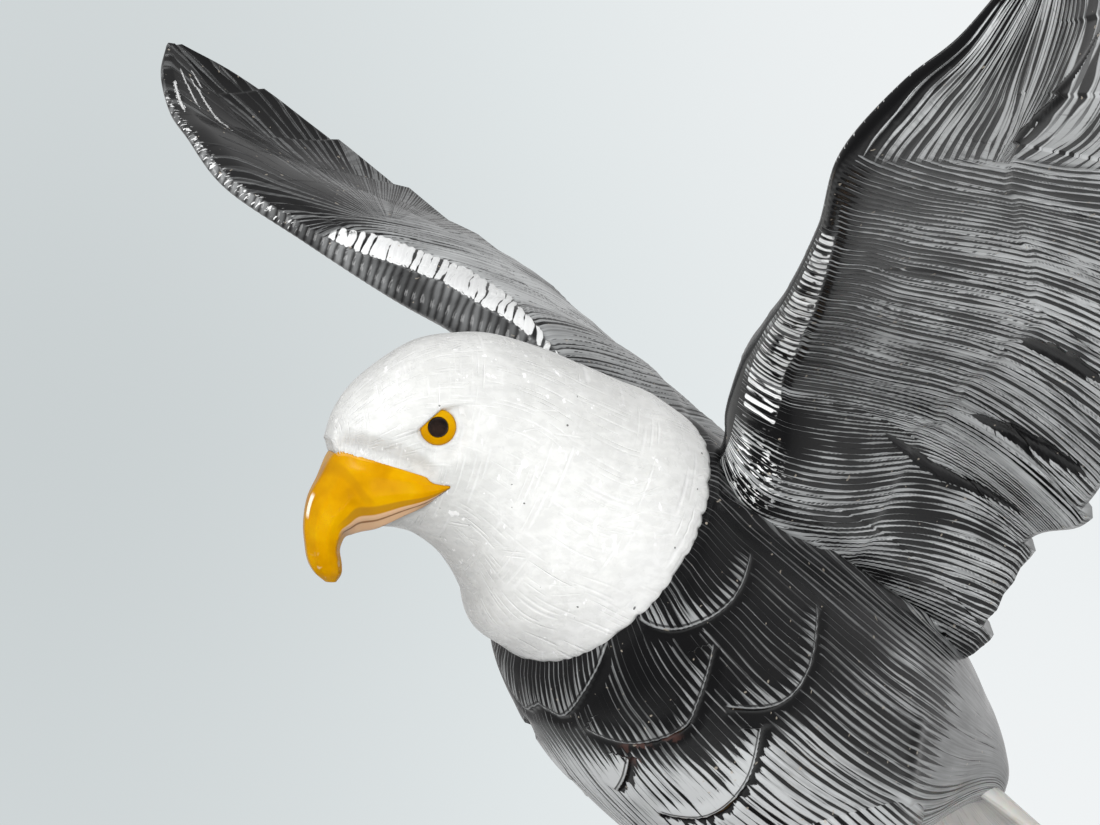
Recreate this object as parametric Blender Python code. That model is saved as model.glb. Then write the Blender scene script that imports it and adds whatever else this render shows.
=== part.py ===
"""Carved stone eagle with raised wings on a low stone base.

Metres, +Z up. The eagle faces -Y and its left side is +X. The origin is the middle of the
base's flat underside.
"""
import math

import bpy
import numpy as np
from mathutils import Matrix, Vector

# Driving sizes, in metres
BODY_LENGTH = 0.068
NECK_RADIUS = 0.0158
NECK_PEG_RADIUS = 0.0140
NECK_PEG_LENGTH = 0.0030
HEAD_LENGTH = 0.0294
EYE_DIAMETER = 0.0038
PUPIL_DIAMETER = 0.0021
EYE_DEPTH = 0.0030
PUPIL_DEPTH = 0.0012
EYE_DOME = 0.0005
WING_REACH = 0.0730
TAIL_LENGTH = 0.0360
TAIL_THICKNESS = 0.0026
LEG_HEIGHT = 0.0130
LEG_SPREAD = 0.0186
LEG_AHEAD = 0.0024
SHANK_RADIUS = 0.0026
TOE_LENGTH = 0.0100
BASE_LENGTH = 0.0640
BASE_WIDTH = 0.0500
BASE_HEIGHT = 0.0150
JOINT_GAP = 0.0003
CUT_PAST = 0.0040

# Angles, in degrees
BODY_SLOPE = 33.2
HEAD_TURN = 23.0
TAIL_SLOPE = 46.0
TAIL_SPREAD = 30.0

# Counts of carved feathers and of mesh rows
TAIL_FEATHERS = 7
WING_FEATHERS = 11
BODY_ROWS = 28
BODY_COLUMNS = 28

UP = np.array([0.0, 0.0, 1.0])
LEFT = np.array([1.0, 0.0, 0.0])


def smooth(knots, values, at):
    """A smooth curve through the values, read at each place asked for."""
    knots = np.asarray(knots, float)
    values = np.asarray(values, float)
    at = np.clip(np.asarray(at, float), knots[0], knots[-1])
    slopes = np.gradient(values, knots, axis=0)
    i = np.clip(np.searchsorted(knots, at, side="right") - 1, 0, len(knots) - 2)
    width = knots[i + 1] - knots[i]
    t = (at - knots[i]) / width
    if values.ndim > 1:
        width = width[..., None]
        t = t[..., None]
    start = (2 * t**3 - 3 * t**2 + 1) * values[i] + (t**3 - 2 * t**2 + t) * width * slopes[i]
    end = (3 * t**2 - 2 * t**3) * values[i + 1] + (t**3 - t**2) * width * slopes[i + 1]
    return start + end


def unit(vector):
    return vector / np.linalg.norm(vector, axis=-1, keepdims=True)


def turns(columns):
    """Angles evenly round a ring, starting half a step on, so that no column lies on the middle plane."""
    return (np.arange(columns) + 0.5) * 2 * math.pi / columns


def clear_scene():
    for item in list(bpy.data.objects):
        bpy.data.objects.remove(item, do_unlink=True)


def stone(name, colour, roughness, clear=0.0):
    material = bpy.data.materials.new(name)
    material.use_nodes = True
    shader = material.node_tree.nodes["Principled BSDF"]
    shader.inputs["Base Color"].default_value = (*colour, 1.0)
    shader.inputs["Roughness"].default_value = roughness
    shader.inputs["Metallic"].default_value = 0.0
    shader.inputs["Transmission Weight"].default_value = clear
    return material


def lofted(name, rings, material):
    """One closed solid through rings of points, capped by a point in the middle of each end."""
    rings = np.asarray(rings, float)
    rows, columns = rings.shape[:2]
    points = [tuple(p) for ring in rings for p in ring]
    faces = []
    for i in range(rows - 1):
        for j in range(columns):
            k = (j + 1) % columns
            faces.append((i * columns + j, i * columns + k, (i + 1) * columns + k, (i + 1) * columns + j))
    for row, turned in ((0, True), (rows - 1, False)):
        middle = len(points)
        points.append(tuple(rings[row].mean(axis=0)))
        for j in range(columns):
            a = row * columns + j
            b = row * columns + (j + 1) % columns
            faces.append((b, a, middle) if turned else (a, b, middle))
    mesh = bpy.data.meshes.new(name)
    mesh.from_pydata(points, [], faces)
    mesh.update()
    made = bpy.data.objects.new(name, mesh)
    bpy.context.scene.collection.objects.link(made)
    if material is not None:
        made.data.materials.append(material)
    mesh.calc_loop_triangles()
    volume = 0.0
    for triangle in mesh.loop_triangles:
        a, b, c = (Vector(points[k]) for k in triangle.vertices)
        volume += a.dot(b.cross(c))
    if volume < 0:
        mesh.flip_normals()
    mesh.shade_smooth()
    mesh.set_sharp_from_angle(angle=math.radians(38))
    return made


def helper(made):
    made.hide_render = True
    made.display_type = "WIRE"
    return made


def combine(target, other, how):
    step = target.modifiers.new(how.lower() + "_" + other.name, "BOOLEAN")
    step.object = other
    step.operation = how
    step.solver = "EXACT"
    helper(other)


# Where the main pieces meet
slope = math.radians(BODY_SLOPE)
BACKWARD = np.array([0.0, math.cos(slope), -math.sin(slope)])
OVER_BACK = np.array([0.0, math.sin(slope), math.cos(slope)])
NECK = np.array([0.0, -0.338 * BODY_LENGTH, BASE_HEIGHT + LEG_HEIGHT + 0.647 * BODY_LENGTH])
turn = math.radians(HEAD_TURN)
FACING = np.array([-math.sin(turn), -math.cos(turn), 0.0])
HEAD_SIDE = np.array([math.cos(turn), -math.sin(turn), 0.0])

# Trunk: half width, height of the back and depth of the belly from the neck line, as shares of its length
COLLAR_SHARE = NECK_RADIUS / BODY_LENGTH
BODY_AT = [0.0, 0.03, 0.07, 0.13, 0.20, 0.28, 0.36, 0.47,
           0.59, 0.70, 0.78, 0.84, 0.89, 0.94, 0.975, 1.0]
BODY_WIDE = [COLLAR_SHARE, 0.243, 0.249, 0.256, 0.260, 0.262, 0.262, 0.258,
             0.243, 0.212, 0.178, 0.150, 0.130, 0.110, 0.095, 0.075]
BODY_BACK = [COLLAR_SHARE, 0.237, 0.240, 0.243, 0.247, 0.250, 0.253, 0.256,
             0.257, 0.247, 0.227, 0.203, 0.181, 0.148, 0.115, 0.084]
BODY_BELLY = [COLLAR_SHARE, 0.266, 0.294, 0.318, 0.340, 0.355, 0.364, 0.366,
              0.345, 0.292, 0.215, 0.135, 0.072, 0.018, -0.008, -0.022]


def body_ring(share, columns, swell=0.0):
    """A ring round the trunk; swell pushes it outward."""
    wide = float(smooth(BODY_AT, BODY_WIDE, share)) * BODY_LENGTH + swell
    back = float(smooth(BODY_AT, BODY_BACK, share)) * BODY_LENGTH + swell
    belly = float(smooth(BODY_AT, BODY_BELLY, share)) * BODY_LENGTH + swell
    around = turns(columns)
    middle = NECK + share * BODY_LENGTH * BACKWARD + OVER_BACK * (back - belly) / 2
    side = np.cos(around) * wide
    high = np.sin(around) * (back + belly) / 2
    return middle + side[:, None] * LEFT + high[:, None] * OVER_BACK


def neck_ring(along, radius, columns):
    around = turns(columns)
    side = np.cos(around) * radius
    high = np.sin(around) * radius
    return NECK + along * BACKWARD + side[:, None] * LEFT + high[:, None] * OVER_BACK


def body_rings(swell=0.0):
    """The neck peg and the trunk; swell gives the space that they need in a piece that meets them."""
    shares = np.linspace(0.0, 1.0, BODY_ROWS) ** 0.85
    rings = [neck_ring(-NECK_PEG_LENGTH, NECK_PEG_RADIUS + swell, BODY_COLUMNS)]
    rings.append(neck_ring(-swell, NECK_PEG_RADIUS + swell, BODY_COLUMNS))
    rings += [body_ring(share, BODY_COLUMNS, swell) for share in shares]
    if swell:
        rings.append(rings[-1] + swell * BACKWARD)
    return rings


# Thigh: radius from the hip to the ankle, as shares of the trunk's length, and how flat it is
THIGH_AT = [0.0, 0.2, 0.45, 0.7, 0.9, 1.0]
THIGH_RADIUS = [0.030, 0.140, 0.190, 0.160, 0.092, 0.052]
THIGH_WIDE = 0.60
THIGH_DEEP = 1.10
HIP_AT = (0.090, 0.50, 0.02)


def foot_place(side, height):
    return np.array([side * LEG_SPREAD / 2, LEG_AHEAD, height])


def thigh_rings(side, rows, columns):
    """The feathered thigh: a pear narrowing to the ankle."""
    hip = NECK + (side * HIP_AT[0] * LEFT + HIP_AT[1] * BACKWARD + HIP_AT[2] * OVER_BACK) * BODY_LENGTH
    ankle = foot_place(side, BASE_HEIGHT + LEG_HEIGHT)
    around = turns(columns)
    rings = []
    for share in np.linspace(0, 1, rows):
        middle = hip + (ankle - hip) * share
        radius = float(smooth(THIGH_AT, THIGH_RADIUS, share)) * BODY_LENGTH
        across = (np.cos(around) * radius * THIGH_WIDE)[:, None] * LEFT
        along = (np.sin(around) * radius * THIGH_DEEP)[:, None] * np.array([0.0, 1.0, 0.0])
        rings.append(middle + across + along)
    return rings


# Head: points along the crown and the throat, ahead of and above the middle of the collar,
# as shares of its length
CROWN = [(-0.187, 0.524), (-0.078, 0.554), (0.085, 0.626), (0.238, 0.687), (0.398, 0.731), (0.527, 0.735),
         (0.656, 0.714), (0.765, 0.660), (0.861, 0.592), (0.932, 0.520), (0.976, 0.445), (0.997, 0.371)]
THROAT = [(0.371, -0.401), (0.439, -0.333), (0.486, -0.221), (0.534, -0.126), (0.595, -0.048), (0.677, 0.014),
          (0.735, 0.034), (0.796, 0.041), (0.857, 0.050), (0.905, 0.078), (0.946, 0.155), (0.985, 0.340)]
HEAD_WIDE = [0.535, 0.512, 0.472, 0.428, 0.395, 0.370, 0.345, 0.306, 0.252, 0.192, 0.132, 0.080]
BROW = [(0.93, 0.337), (0.85, 0.352), (0.735, 0.400), (0.65, 0.476), (0.52, 0.497)]


def in_head(ahead, high):
    return NECK + (ahead * FACING + high * UP) * HEAD_LENGTH


def head_frame(share):
    """Middle, half height and half width with their directions, from collar to forehead."""
    count = len(CROWN)
    knots = np.linspace(0, 1, count + 1)
    radius = NECK_RADIUS / HEAD_LENGTH
    collar_top = np.array([radius * OVER_BACK @ FACING, radius * OVER_BACK[2]])
    tops = np.vstack([[collar_top], CROWN])
    lows = np.vstack([[-collar_top], THROAT])
    wides = np.array([radius] + HEAD_WIDE)
    top = smooth(knots, tops, share)
    low = smooth(knots, lows, share)
    wide = float(smooth(knots, wides, share)) * HEAD_LENGTH
    middle = in_head(*((top + low) / 2))
    rise = in_head(*top) - in_head(*low)
    start = min(1.0, share * 4)
    collar_rise = 2 * NECK_RADIUS * OVER_BACK
    rise = collar_rise * (1 - start) + rise * start
    side = unit(LEFT * (1 - start) + HEAD_SIDE * start)
    return middle, rise / 2, wide, side


def brow_relief(ahead, high):
    """Raised brow line with the hollow of the eye under it, as a share of the head's length."""
    line = np.array(BROW)
    order = np.argsort(line[:, 0])
    over = high - np.interp(ahead, line[order, 0], line[order, 1])
    along = np.clip((ahead - 0.46) / 0.16, 0, 1) * np.clip((1.0 - ahead) / 0.10, 0, 1)
    ridge = 0.016 * np.exp(-((over - 0.020) / 0.050) ** 2)
    hollow = 0.022 * np.exp(-((over + 0.075) / 0.070) ** 2)
    return (ridge - hollow) * along


def head_rings(rows, columns):
    around = np.linspace(0, 2 * math.pi, columns, endpoint=False)
    rings = []
    for share in np.linspace(0, 1, rows) ** 0.9:
        middle, half, wide, side = head_frame(share)
        ring = middle + (np.cos(around) * wide)[:, None] * side + np.sin(around)[:, None] * half
        ahead = (ring - NECK) @ FACING / HEAD_LENGTH
        high = (ring - NECK)[:, 2] / HEAD_LENGTH
        flank = np.clip(np.abs(np.cos(around)) * 2 - 0.5, 0, 1)
        push = brow_relief(ahead, high) * flank * HEAD_LENGTH
        ring = ring + (np.sign(np.cos(around)) * push)[:, None] * side
        rings.append(ring)
    return rings


# Beak: upper and lower line from the gape to the tip, and half width, as shares of the head's length
BEAK_TOP = [(0.622, 0.214), (0.714, 0.245), (0.816, 0.279), (0.905, 0.306),
            (0.975, 0.315), (1.027, 0.224), (1.065, 0.150), (1.080, 0.061),
            (1.075, -0.020), (1.065, -0.075), (1.041, -0.119), (1.003, -0.152)]
BEAK_LOW = [(0.622, 0.194), (0.697, 0.133), (0.769, 0.092), (0.844, 0.048),
            (0.891, 0.031), (0.918, 0.020), (0.939, 0.010), (0.951, -0.014),
            (0.956, -0.041), (0.949, -0.085), (0.949, -0.122), (0.965, -0.152)]
BEAK_WIDE = [0.335, 0.312, 0.272, 0.218, 0.165, 0.140, 0.119, 0.102, 0.088, 0.074, 0.057, 0.030]
BEAK_INLAID = [(0.90, 1.0), (0.98, 0.50), (1.0, -0.10), (0.98, -0.62), (0.88, -1.0)]
BEAK_RIDGED = [(0.34, 1.0), (0.80, 0.50), (1.0, -0.10), (0.94, -0.62), (0.55, -1.0)]


def beak_rings(rows, swell=0.0):
    knots = np.linspace(0, 1, len(BEAK_TOP))
    rings = []
    for share in np.linspace(0, 1, rows):
        top = in_head(*smooth(knots, BEAK_TOP, share))
        low = in_head(*smooth(knots, BEAK_LOW, share))
        wide = float(smooth(knots, BEAK_WIDE, share)) * HEAD_LENGTH + swell
        half = (top - low) / 2
        half = half * (1 + swell / np.linalg.norm(half))
        ridged = float(smooth([0, 0.22, 0.42, 1], [0, 0.1, 1, 1], share))
        section = np.array(BEAK_INLAID) * (1 - ridged) + np.array(BEAK_RIDGED) * ridged
        corners = np.vstack([section, section[::-1] * np.array([-1, 1])])
        ring = [(top + low) / 2 + across * wide * HEAD_SIDE + high * half for across, high in corners]
        rings.append(np.array(ring))
    if swell:
        rings[0] = rings[0] - swell * FACING
    return rings


# Wing: front edge, back edge, camber and thickness from root to tip, as shares of its reach
WING_AT = [0.0, 0.10, 0.19, 0.28, 0.39, 0.52, 0.64, 0.76, 0.86, 0.94, 1.0]
WING_FRONT = [(0.055, -0.165, 1.045), (0.199, -0.233, 1.122), (0.274, -0.267, 1.233), (0.362, -0.314, 1.286),
              (0.463, -0.364, 1.336), (0.601, -0.437, 1.423), (0.716, -0.512, 1.510), (0.826, -0.516, 1.594),
              (0.907, -0.503, 1.645), (0.966, -0.482, 1.708), (1.000, -0.452, 1.752)]
WING_BACK = [(0.085, 0.365, 0.745), (0.190, 0.302, 0.812), (0.272, 0.314, 0.955), (0.384, 0.295, 1.000),
             (0.480, 0.253, 1.110), (0.630, 0.096, 1.322), (0.753, -0.041, 1.452), (0.842, -0.130, 1.542),
             (0.904, -0.236, 1.630), (0.962, -0.330, 1.704), (0.994, -0.424, 1.757)]
WING_CAMBER = [0.00, 0.045, 0.070, 0.089, 0.082, 0.055, 0.022, -0.008, -0.020, -0.014, 0.0]
WING_THICK = [0.110, 0.150, 0.098, 0.070, 0.056, 0.047, 0.038, 0.028, 0.021, 0.015, 0.007]
WING_SEAT = np.array([0.0, -0.315, 0.986])
BACK_STEPS = np.linalg.norm(np.diff(np.array(WING_BACK), axis=0), axis=1)
BACK_LENGTH = np.concatenate([[0.0], np.cumsum(BACK_STEPS)]) / BACK_STEPS.sum()


def feather_place(span):
    """Which flight feather lies here, counted from the root, with its own share across."""
    return WING_FEATHERS * np.interp(span, WING_AT, BACK_LENGTH)


def feather_edge(span):
    """How far each flight feather's tip reaches past the back edge, as a share of the chord."""
    place = feather_place(span)
    return 0.045 * (place - np.floor(place)) * np.clip((1 - span) * 16, 0, 1)


def eased(value):
    value = np.clip(value, 0, 1)
    return value * value * (3 - 2 * value)


def wing_relief(span, chord):
    """Height of the coverts and of the flight feathers that overlap, as a share of the reach."""
    place = feather_place(span)
    coverts = 0.0060 * (1 - eased((chord - 0.48) / 0.06)) * eased(chord / 0.1)
    feathers = 0.0055 * (place - np.floor(place)) * eased((chord - 0.50) / 0.15)
    return coverts + feathers * eased((1 - span) * 20)


def wing_sheet(span, chord, side):
    """A point half way through the wing's thickness."""
    front = smooth(WING_AT, WING_FRONT, span)
    back = smooth(WING_AT, WING_BACK, span)
    back = back + (back - front) * feather_edge(span)[..., None]
    camber = smooth(WING_AT, WING_CAMBER, span)
    rise = camber * 4 * chord * (1 - chord)
    point = front + (back - front) * chord[..., None] + rise[..., None] * UP - WING_SEAT
    point[..., 0] *= side
    return NECK + point * WING_REACH


def wing_normal(span, chord, side):
    step = 0.012
    past = wing_sheet(np.clip(span + step, 0, 1), chord, side)
    before = wing_sheet(np.clip(span - step, 0, 1), chord, side)
    behind = wing_sheet(span, np.clip(chord + step, 0, 1), side)
    ahead = wing_sheet(span, np.clip(chord - step, 0, 1), side)
    return unit(np.cross(past - before, behind - ahead) * side)


def wing_rings(side, rows_a_feather, half_columns):
    places = [k + part for k in range(WING_FEATHERS) for part in np.linspace(0.0, 0.97, rows_a_feather)]
    spans = np.interp(np.array(places + [WING_FEATHERS]) / WING_FEATHERS, BACK_LENGTH, WING_AT)
    opening = (1 - np.cos(np.linspace(0, math.pi, half_columns + 1))) / 2
    chords = np.concatenate([opening, opening[-2:0:-1]])
    upper = np.concatenate([np.ones(half_columns + 1), -np.ones(half_columns - 1)])
    upper[0] = 0
    upper[half_columns] = 0
    rings = []
    for span in spans:
        spread = np.full_like(chords, span)
        sheet = wing_sheet(spread, chords, side)
        across = wing_normal(spread, np.clip(chords, 0.02, 0.98), side)
        thick = float(smooth(WING_AT, WING_THICK, span)) * WING_REACH
        roll = chords / 0.16
        body = np.sqrt(roll) * np.exp(0.5 * (1 - roll))
        half = thick * body / 2 + wing_relief(spread, chords) * WING_REACH
        rings.append(sheet + (upper * half)[:, None] * across)
    return rings


def tail_rings(rows, half_columns):
    """The fan of the tail, with a step at each feather and a scalloped end."""
    slant = math.radians(TAIL_SLOPE)
    away = np.array([0.0, math.cos(slant), -math.sin(slant)])
    over = np.array([0.0, math.sin(slant), math.cos(slant)])
    root = NECK + 0.955 * BODY_LENGTH * BACKWARD + 0.050 * BODY_LENGTH * OVER_BACK
    spread = math.radians(TAIL_SPREAD)
    fan = np.linspace(-1, 1, half_columns)
    rings = []
    for share in np.linspace(0, 1, rows):
        place = (fan + 1) / 2 * TAIL_FEATHERS
        tip = 1 - 0.05 * (2 * (place - np.floor(place)) - 1) ** 2 - 0.06 * fan**2
        reach = (0.28 + 0.72 * share) * TAIL_LENGTH * (tip * share + (1 - share))
        angle = fan * spread
        sheet = root + (reach - 0.28 * TAIL_LENGTH)[:, None] * away
        sheet = sheet + (np.sin(angle) * (reach + 0.10 * TAIL_LENGTH))[:, None] * LEFT
        sheet = sheet - ((1 - np.cos(angle)) * reach)[:, None] * away
        sheet = sheet - (0.06 * TAIL_LENGTH * fan**2)[:, None] * over
        half = TAIL_THICKNESS / 2 * (1 - 0.55 * share)
        groove = 0.0055 * TAIL_LENGTH * np.cos(2 * math.pi * place) * share
        top = sheet + (half - groove)[:, None] * over
        low = sheet - (half - groove)[:, None] * over
        rings.append(np.vstack([top, low[::-1]]))
    return rings


def rounded_ring(middle, along, across, wide, high, columns):
    upright = unit(np.cross(along, across))
    around = np.linspace(0, 2 * math.pi, columns, endpoint=False)
    return (
        middle
        + (np.cos(around) * wide)[:, None] * across
        + (np.sin(around) * high)[:, None] * upright
    )


def toe(name, start, heading, length, material):
    """One toe with its curved claw, resting on the base."""
    across = unit(np.cross(heading, UP))
    rings = []
    for share in (0.0, 0.35, 0.62, 0.72, 0.88, 1.0):
        thick = smooth([0, 0.3, 0.6, 0.78, 1.0], [0.68, 0.62, 0.60, 0.36, 0.08], share)
        lift = smooth([0, 0.3, 0.6, 0.8, 1.0], [1.02, 0.72, 0.72, 0.85, 0.22], share)
        radius = float(thick) * SHANK_RADIUS
        lift = float(lift) * SHANK_RADIUS
        middle = start + heading * length * share + UP * lift
        rings.append(rounded_ring(middle, heading, across, radius, radius, 7))
    return lofted(name, rings, material)


def build_leg(name, side, material):
    """A bare shank on three front toes and a shorter hind toe."""
    foot = foot_place(side, BASE_HEIGHT + JOINT_GAP)
    height = LEG_HEIGHT - 2 * JOINT_GAP
    rings = []
    for share in np.linspace(0, 1, 6):
        radius = SHANK_RADIUS * float(smooth([0, 0.25, 0.7, 1.0], [1.30, 0.95, 0.88, 1.0], share))
        rings.append(rounded_ring(foot + UP * share * height, UP, LEFT, radius, radius, 12))
    leg = lofted(name, rings, material)
    for number, (angle, long) in enumerate(((-32, 1.0), (0, 1.0), (32, 1.0), (180, 0.72))):
        angle = math.radians(angle)
        heading = np.array([math.sin(angle), -math.cos(angle), 0.0])
        combine(leg, toe(name + "_toe_" + str(number), foot, heading, TOE_LENGTH * long, material), "UNION")
    return leg


def build_base(material):
    """A low oval stone with a rounded top edge."""
    columns = 32
    around = np.linspace(0, 2 * math.pi, columns, endpoint=False)
    rings = []
    for share, inset in ((0.0, 0.02), (0.08, 0.0), (0.45, 0.01), (0.80, 0.05), (0.93, 0.09), (1.0, 0.15)):
        uneven = 1 + 0.018 * np.sin(3 * around + 0.7) + 0.012 * np.sin(5 * around + 2.1)
        grow = (1 - inset) * uneven
        side = np.cos(around) * BASE_LENGTH / 2 * grow
        deep = np.sin(around) * BASE_WIDTH / 2 * grow
        high = np.full(columns, share * BASE_HEIGHT)
        rings.append(np.stack([side, deep, high], axis=1))
    return lofted("base", rings, material)


# Eye: its middle ahead of and above the middle of the collar and out to the side, and the way that it looks
EYE_AT = (0.660, 0.412, 0.312)
EYE_LOOKS = (0.20, 0.05, 0.97)


def build_eye(side, yellow, black, head):
    """An inlaid ring with a round pupil, both let into blind holes."""
    word = "left" if side > 0 else "right"
    surface = in_head(EYE_AT[0], EYE_AT[1]) + side * HEAD_SIDE * EYE_AT[2] * HEAD_LENGTH
    outward = unit(EYE_LOOKS[0] * FACING + EYE_LOOKS[1] * UP + side * EYE_LOOKS[2] * HEAD_SIDE)
    turned = Vector(outward).to_track_quat("Z", "Y").to_matrix().to_4x4()
    placed = Matrix.Translation(Vector(surface)) @ turned

    def disc(name, radius, bottom, top, dome, material, started=0.0):
        around = np.linspace(0, 2 * math.pi, 16, endpoint=False) + started
        rings = []
        for grow, high in ((1.0, bottom), (1.0, top), (0.72, top + 0.6 * dome), (0.35, top + 0.92 * dome)):
            reach = radius * grow
            rings.append(np.stack([np.cos(around) * reach, np.sin(around) * reach, np.full(16, high)], 1))
        made = lofted(name, rings, material)
        made.data.transform(placed)
        return made

    def bore(name, diameter, gap, depth):
        return disc(name, diameter / 2 + gap, -depth - JOINT_GAP, CUT_PAST, JOINT_GAP, None, math.pi / 16)

    combine(head, bore("eye_hole_" + word, EYE_DIAMETER, JOINT_GAP / 2, EYE_DEPTH), "DIFFERENCE")
    eye = disc("eye_" + word, EYE_DIAMETER / 2, -EYE_DEPTH, EYE_DOME / 5, EYE_DOME, yellow)
    combine(eye, bore("pupil_hole_" + word, PUPIL_DIAMETER, JOINT_GAP / 3, PUPIL_DEPTH), "DIFFERENCE")
    disc("pupil_" + word, PUPIL_DIAMETER / 2, -PUPIL_DEPTH, EYE_DOME, EYE_DOME / 2, black)


def main():
    clear_scene()
    obsidian = stone("obsidian", (0.012, 0.012, 0.013), 0.12)
    quartz = stone("quartz", (0.86, 0.87, 0.87), 0.35)
    clear_quartz = stone("clear_quartz", (0.80, 0.80, 0.77), 0.25, 0.35)
    yellow = stone("yellow_stone", (0.80, 0.38, 0.015), 0.18)
    black = stone("pupil_stone", (0.01, 0.01, 0.01), 0.08)
    dark = stone("base_stone", (0.030, 0.030, 0.032), 0.35)

    body = lofted("body", body_rings(), obsidian)
    for side, word in ((1, "left"), (-1, "right")):
        thigh = lofted("thigh_" + word, thigh_rings(side, 9, 14), obsidian)
        combine(body, thigh, "UNION")

    head = lofted("head", head_rings(20, 28), quartz)
    socket = [neck_ring(-NECK_PEG_LENGTH - JOINT_GAP, NECK_PEG_RADIUS + JOINT_GAP, BODY_COLUMNS + 2)]
    socket.append(neck_ring(CUT_PAST, NECK_PEG_RADIUS + JOINT_GAP, BODY_COLUMNS + 2))
    combine(head, lofted("neck_socket", socket, None), "DIFFERENCE")
    combine(head, lofted("beak_slot", beak_rings(14, JOINT_GAP), None), "DIFFERENCE")
    lofted("beak", beak_rings(20), yellow)
    for side in (1, -1):
        build_eye(side, yellow, black, head)

    body_space = lofted("body_space", body_rings(JOINT_GAP), None)
    for side, word in ((1, "left"), (-1, "right")):
        wing = lofted("wing_" + word, wing_rings(side, 4, 9), obsidian)
        combine(wing, body_space, "DIFFERENCE")

    tail = lofted("tail", tail_rings(7, 2 * TAIL_FEATHERS + 1), clear_quartz)
    combine(tail, body_space, "DIFFERENCE")
    build_leg("leg_left", 1, yellow)
    build_leg("leg_right", -1, yellow)
    build_base(dark)


main()
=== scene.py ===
"""Looks of the carved stone eagle: obsidian body and wings, frosted quartz head, yellow beak."""
import math

import bpy
import numpy as np
from mathutils import Matrix, Vector


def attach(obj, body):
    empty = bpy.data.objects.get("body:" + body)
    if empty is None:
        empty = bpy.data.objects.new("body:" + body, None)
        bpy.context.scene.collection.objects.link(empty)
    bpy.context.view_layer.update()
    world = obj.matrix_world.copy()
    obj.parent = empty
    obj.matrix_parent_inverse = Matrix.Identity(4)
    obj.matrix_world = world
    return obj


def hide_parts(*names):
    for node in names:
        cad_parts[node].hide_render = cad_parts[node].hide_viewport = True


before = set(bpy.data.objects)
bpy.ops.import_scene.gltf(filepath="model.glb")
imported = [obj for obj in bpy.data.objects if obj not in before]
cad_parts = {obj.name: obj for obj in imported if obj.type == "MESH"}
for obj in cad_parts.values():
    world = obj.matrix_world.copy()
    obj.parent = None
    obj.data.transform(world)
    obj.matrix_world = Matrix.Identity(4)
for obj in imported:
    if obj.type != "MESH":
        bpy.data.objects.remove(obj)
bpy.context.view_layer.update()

MM = 0.001
UP = np.array([0.0, 0.0, 1.0])
LEFT = np.array([1.0, 0.0, 0.0])
BACK = np.array([0.0, 1.0, 0.0])

# Sizes of the solids that these pieces follow, in metres and degrees
BODY_LENGTH = 0.068
NECK_RADIUS = 0.0158
NECK_PEG_RADIUS = 0.0140
NECK_PEG_LENGTH = 0.0030
HEAD_LENGTH = 0.0294
EYE_DIAMETER = 0.0038
PUPIL_DIAMETER = 0.0021
EYE_DEPTH = 0.0030
PUPIL_DEPTH = 0.0012
EYE_DOME = 0.0005
WING_REACH = 0.0730
TAIL_LENGTH = 0.0360
TAIL_THICKNESS = 0.0026
LEG_HEIGHT = 0.0130
LEG_SPREAD = 0.0186
LEG_AHEAD = 0.0024
SHANK_RADIUS = 0.0026
TOE_LENGTH = 0.0100
BASE_LENGTH = 0.0640
BASE_WIDTH = 0.0500
BASE_HEIGHT = 0.0150
JOINT_GAP = 0.0003
BODY_SLOPE = 33.2
HEAD_TURN = 23.0
TAIL_SLOPE = 46.0
TAIL_SPREAD = 30.0
TAIL_FEATHERS = 7
WING_FEATHERS = 11

slope = math.radians(BODY_SLOPE)
BACKWARD = np.array([0.0, math.cos(slope), -math.sin(slope)])
OVER_BACK = np.array([0.0, math.sin(slope), math.cos(slope)])
NECK = np.array([0.0, -0.338 * BODY_LENGTH, BASE_HEIGHT + LEG_HEIGHT + 0.647 * BODY_LENGTH])
turn = math.radians(HEAD_TURN)
FACING = np.array([-math.sin(turn), -math.cos(turn), 0.0])
HEAD_SIDE = np.array([math.cos(turn), -math.sin(turn), 0.0])

# The side from which the figure is seen: to its left front, level with the head
VIEW_TURN = math.radians(52)
VIEW_DROP = math.radians(3)
RIGHT = np.array([math.cos(VIEW_TURN), math.sin(VIEW_TURN), 0])
AHEAD = np.array([-math.sin(VIEW_TURN) * math.cos(VIEW_DROP), math.cos(VIEW_TURN) * math.cos(VIEW_DROP),
                  -math.sin(VIEW_DROP)])
ABOVE = np.cross(RIGHT, AHEAD)


def smooth(knots, values, at):
    """A smooth curve through the values, read at each place asked for."""
    knots = np.asarray(knots, float)
    values = np.asarray(values, float)
    at = np.clip(np.asarray(at, float), knots[0], knots[-1])
    slopes = np.gradient(values, knots, axis=0)
    i = np.clip(np.searchsorted(knots, at, side="right") - 1, 0, len(knots) - 2)
    width = knots[i + 1] - knots[i]
    t = (at - knots[i]) / width
    if values.ndim > 1:
        width = width[..., None]
        t = t[..., None]
    start = (2 * t**3 - 3 * t**2 + 1) * values[i] + (t**3 - 2 * t**2 + t) * width * slopes[i]
    end = (3 * t**2 - 2 * t**3) * values[i + 1] + (t**3 - t**2) * width * slopes[i + 1]
    return start + end


def unit(vector):
    return vector / np.linalg.norm(vector, axis=-1, keepdims=True)


def eased(value):
    value = np.clip(value, 0, 1)
    return value * value * (3 - 2 * value)


def bump(value, middle, half):
    """1 at the middle and 0 past half to either side."""
    return 1 - eased(np.abs(value - middle) / half)


def bell(value, middle, wide):
    """1 at the middle, falling off smoothly on both sides."""
    return np.exp(-((value - middle) / wide) ** 2)


def stretch(value, start, rise, end, fall):
    """1 from start and its rise up to the end, easing to 0 before and after."""
    return eased((value - start) / rise) * (1 - eased((value - end) / fall))


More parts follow.
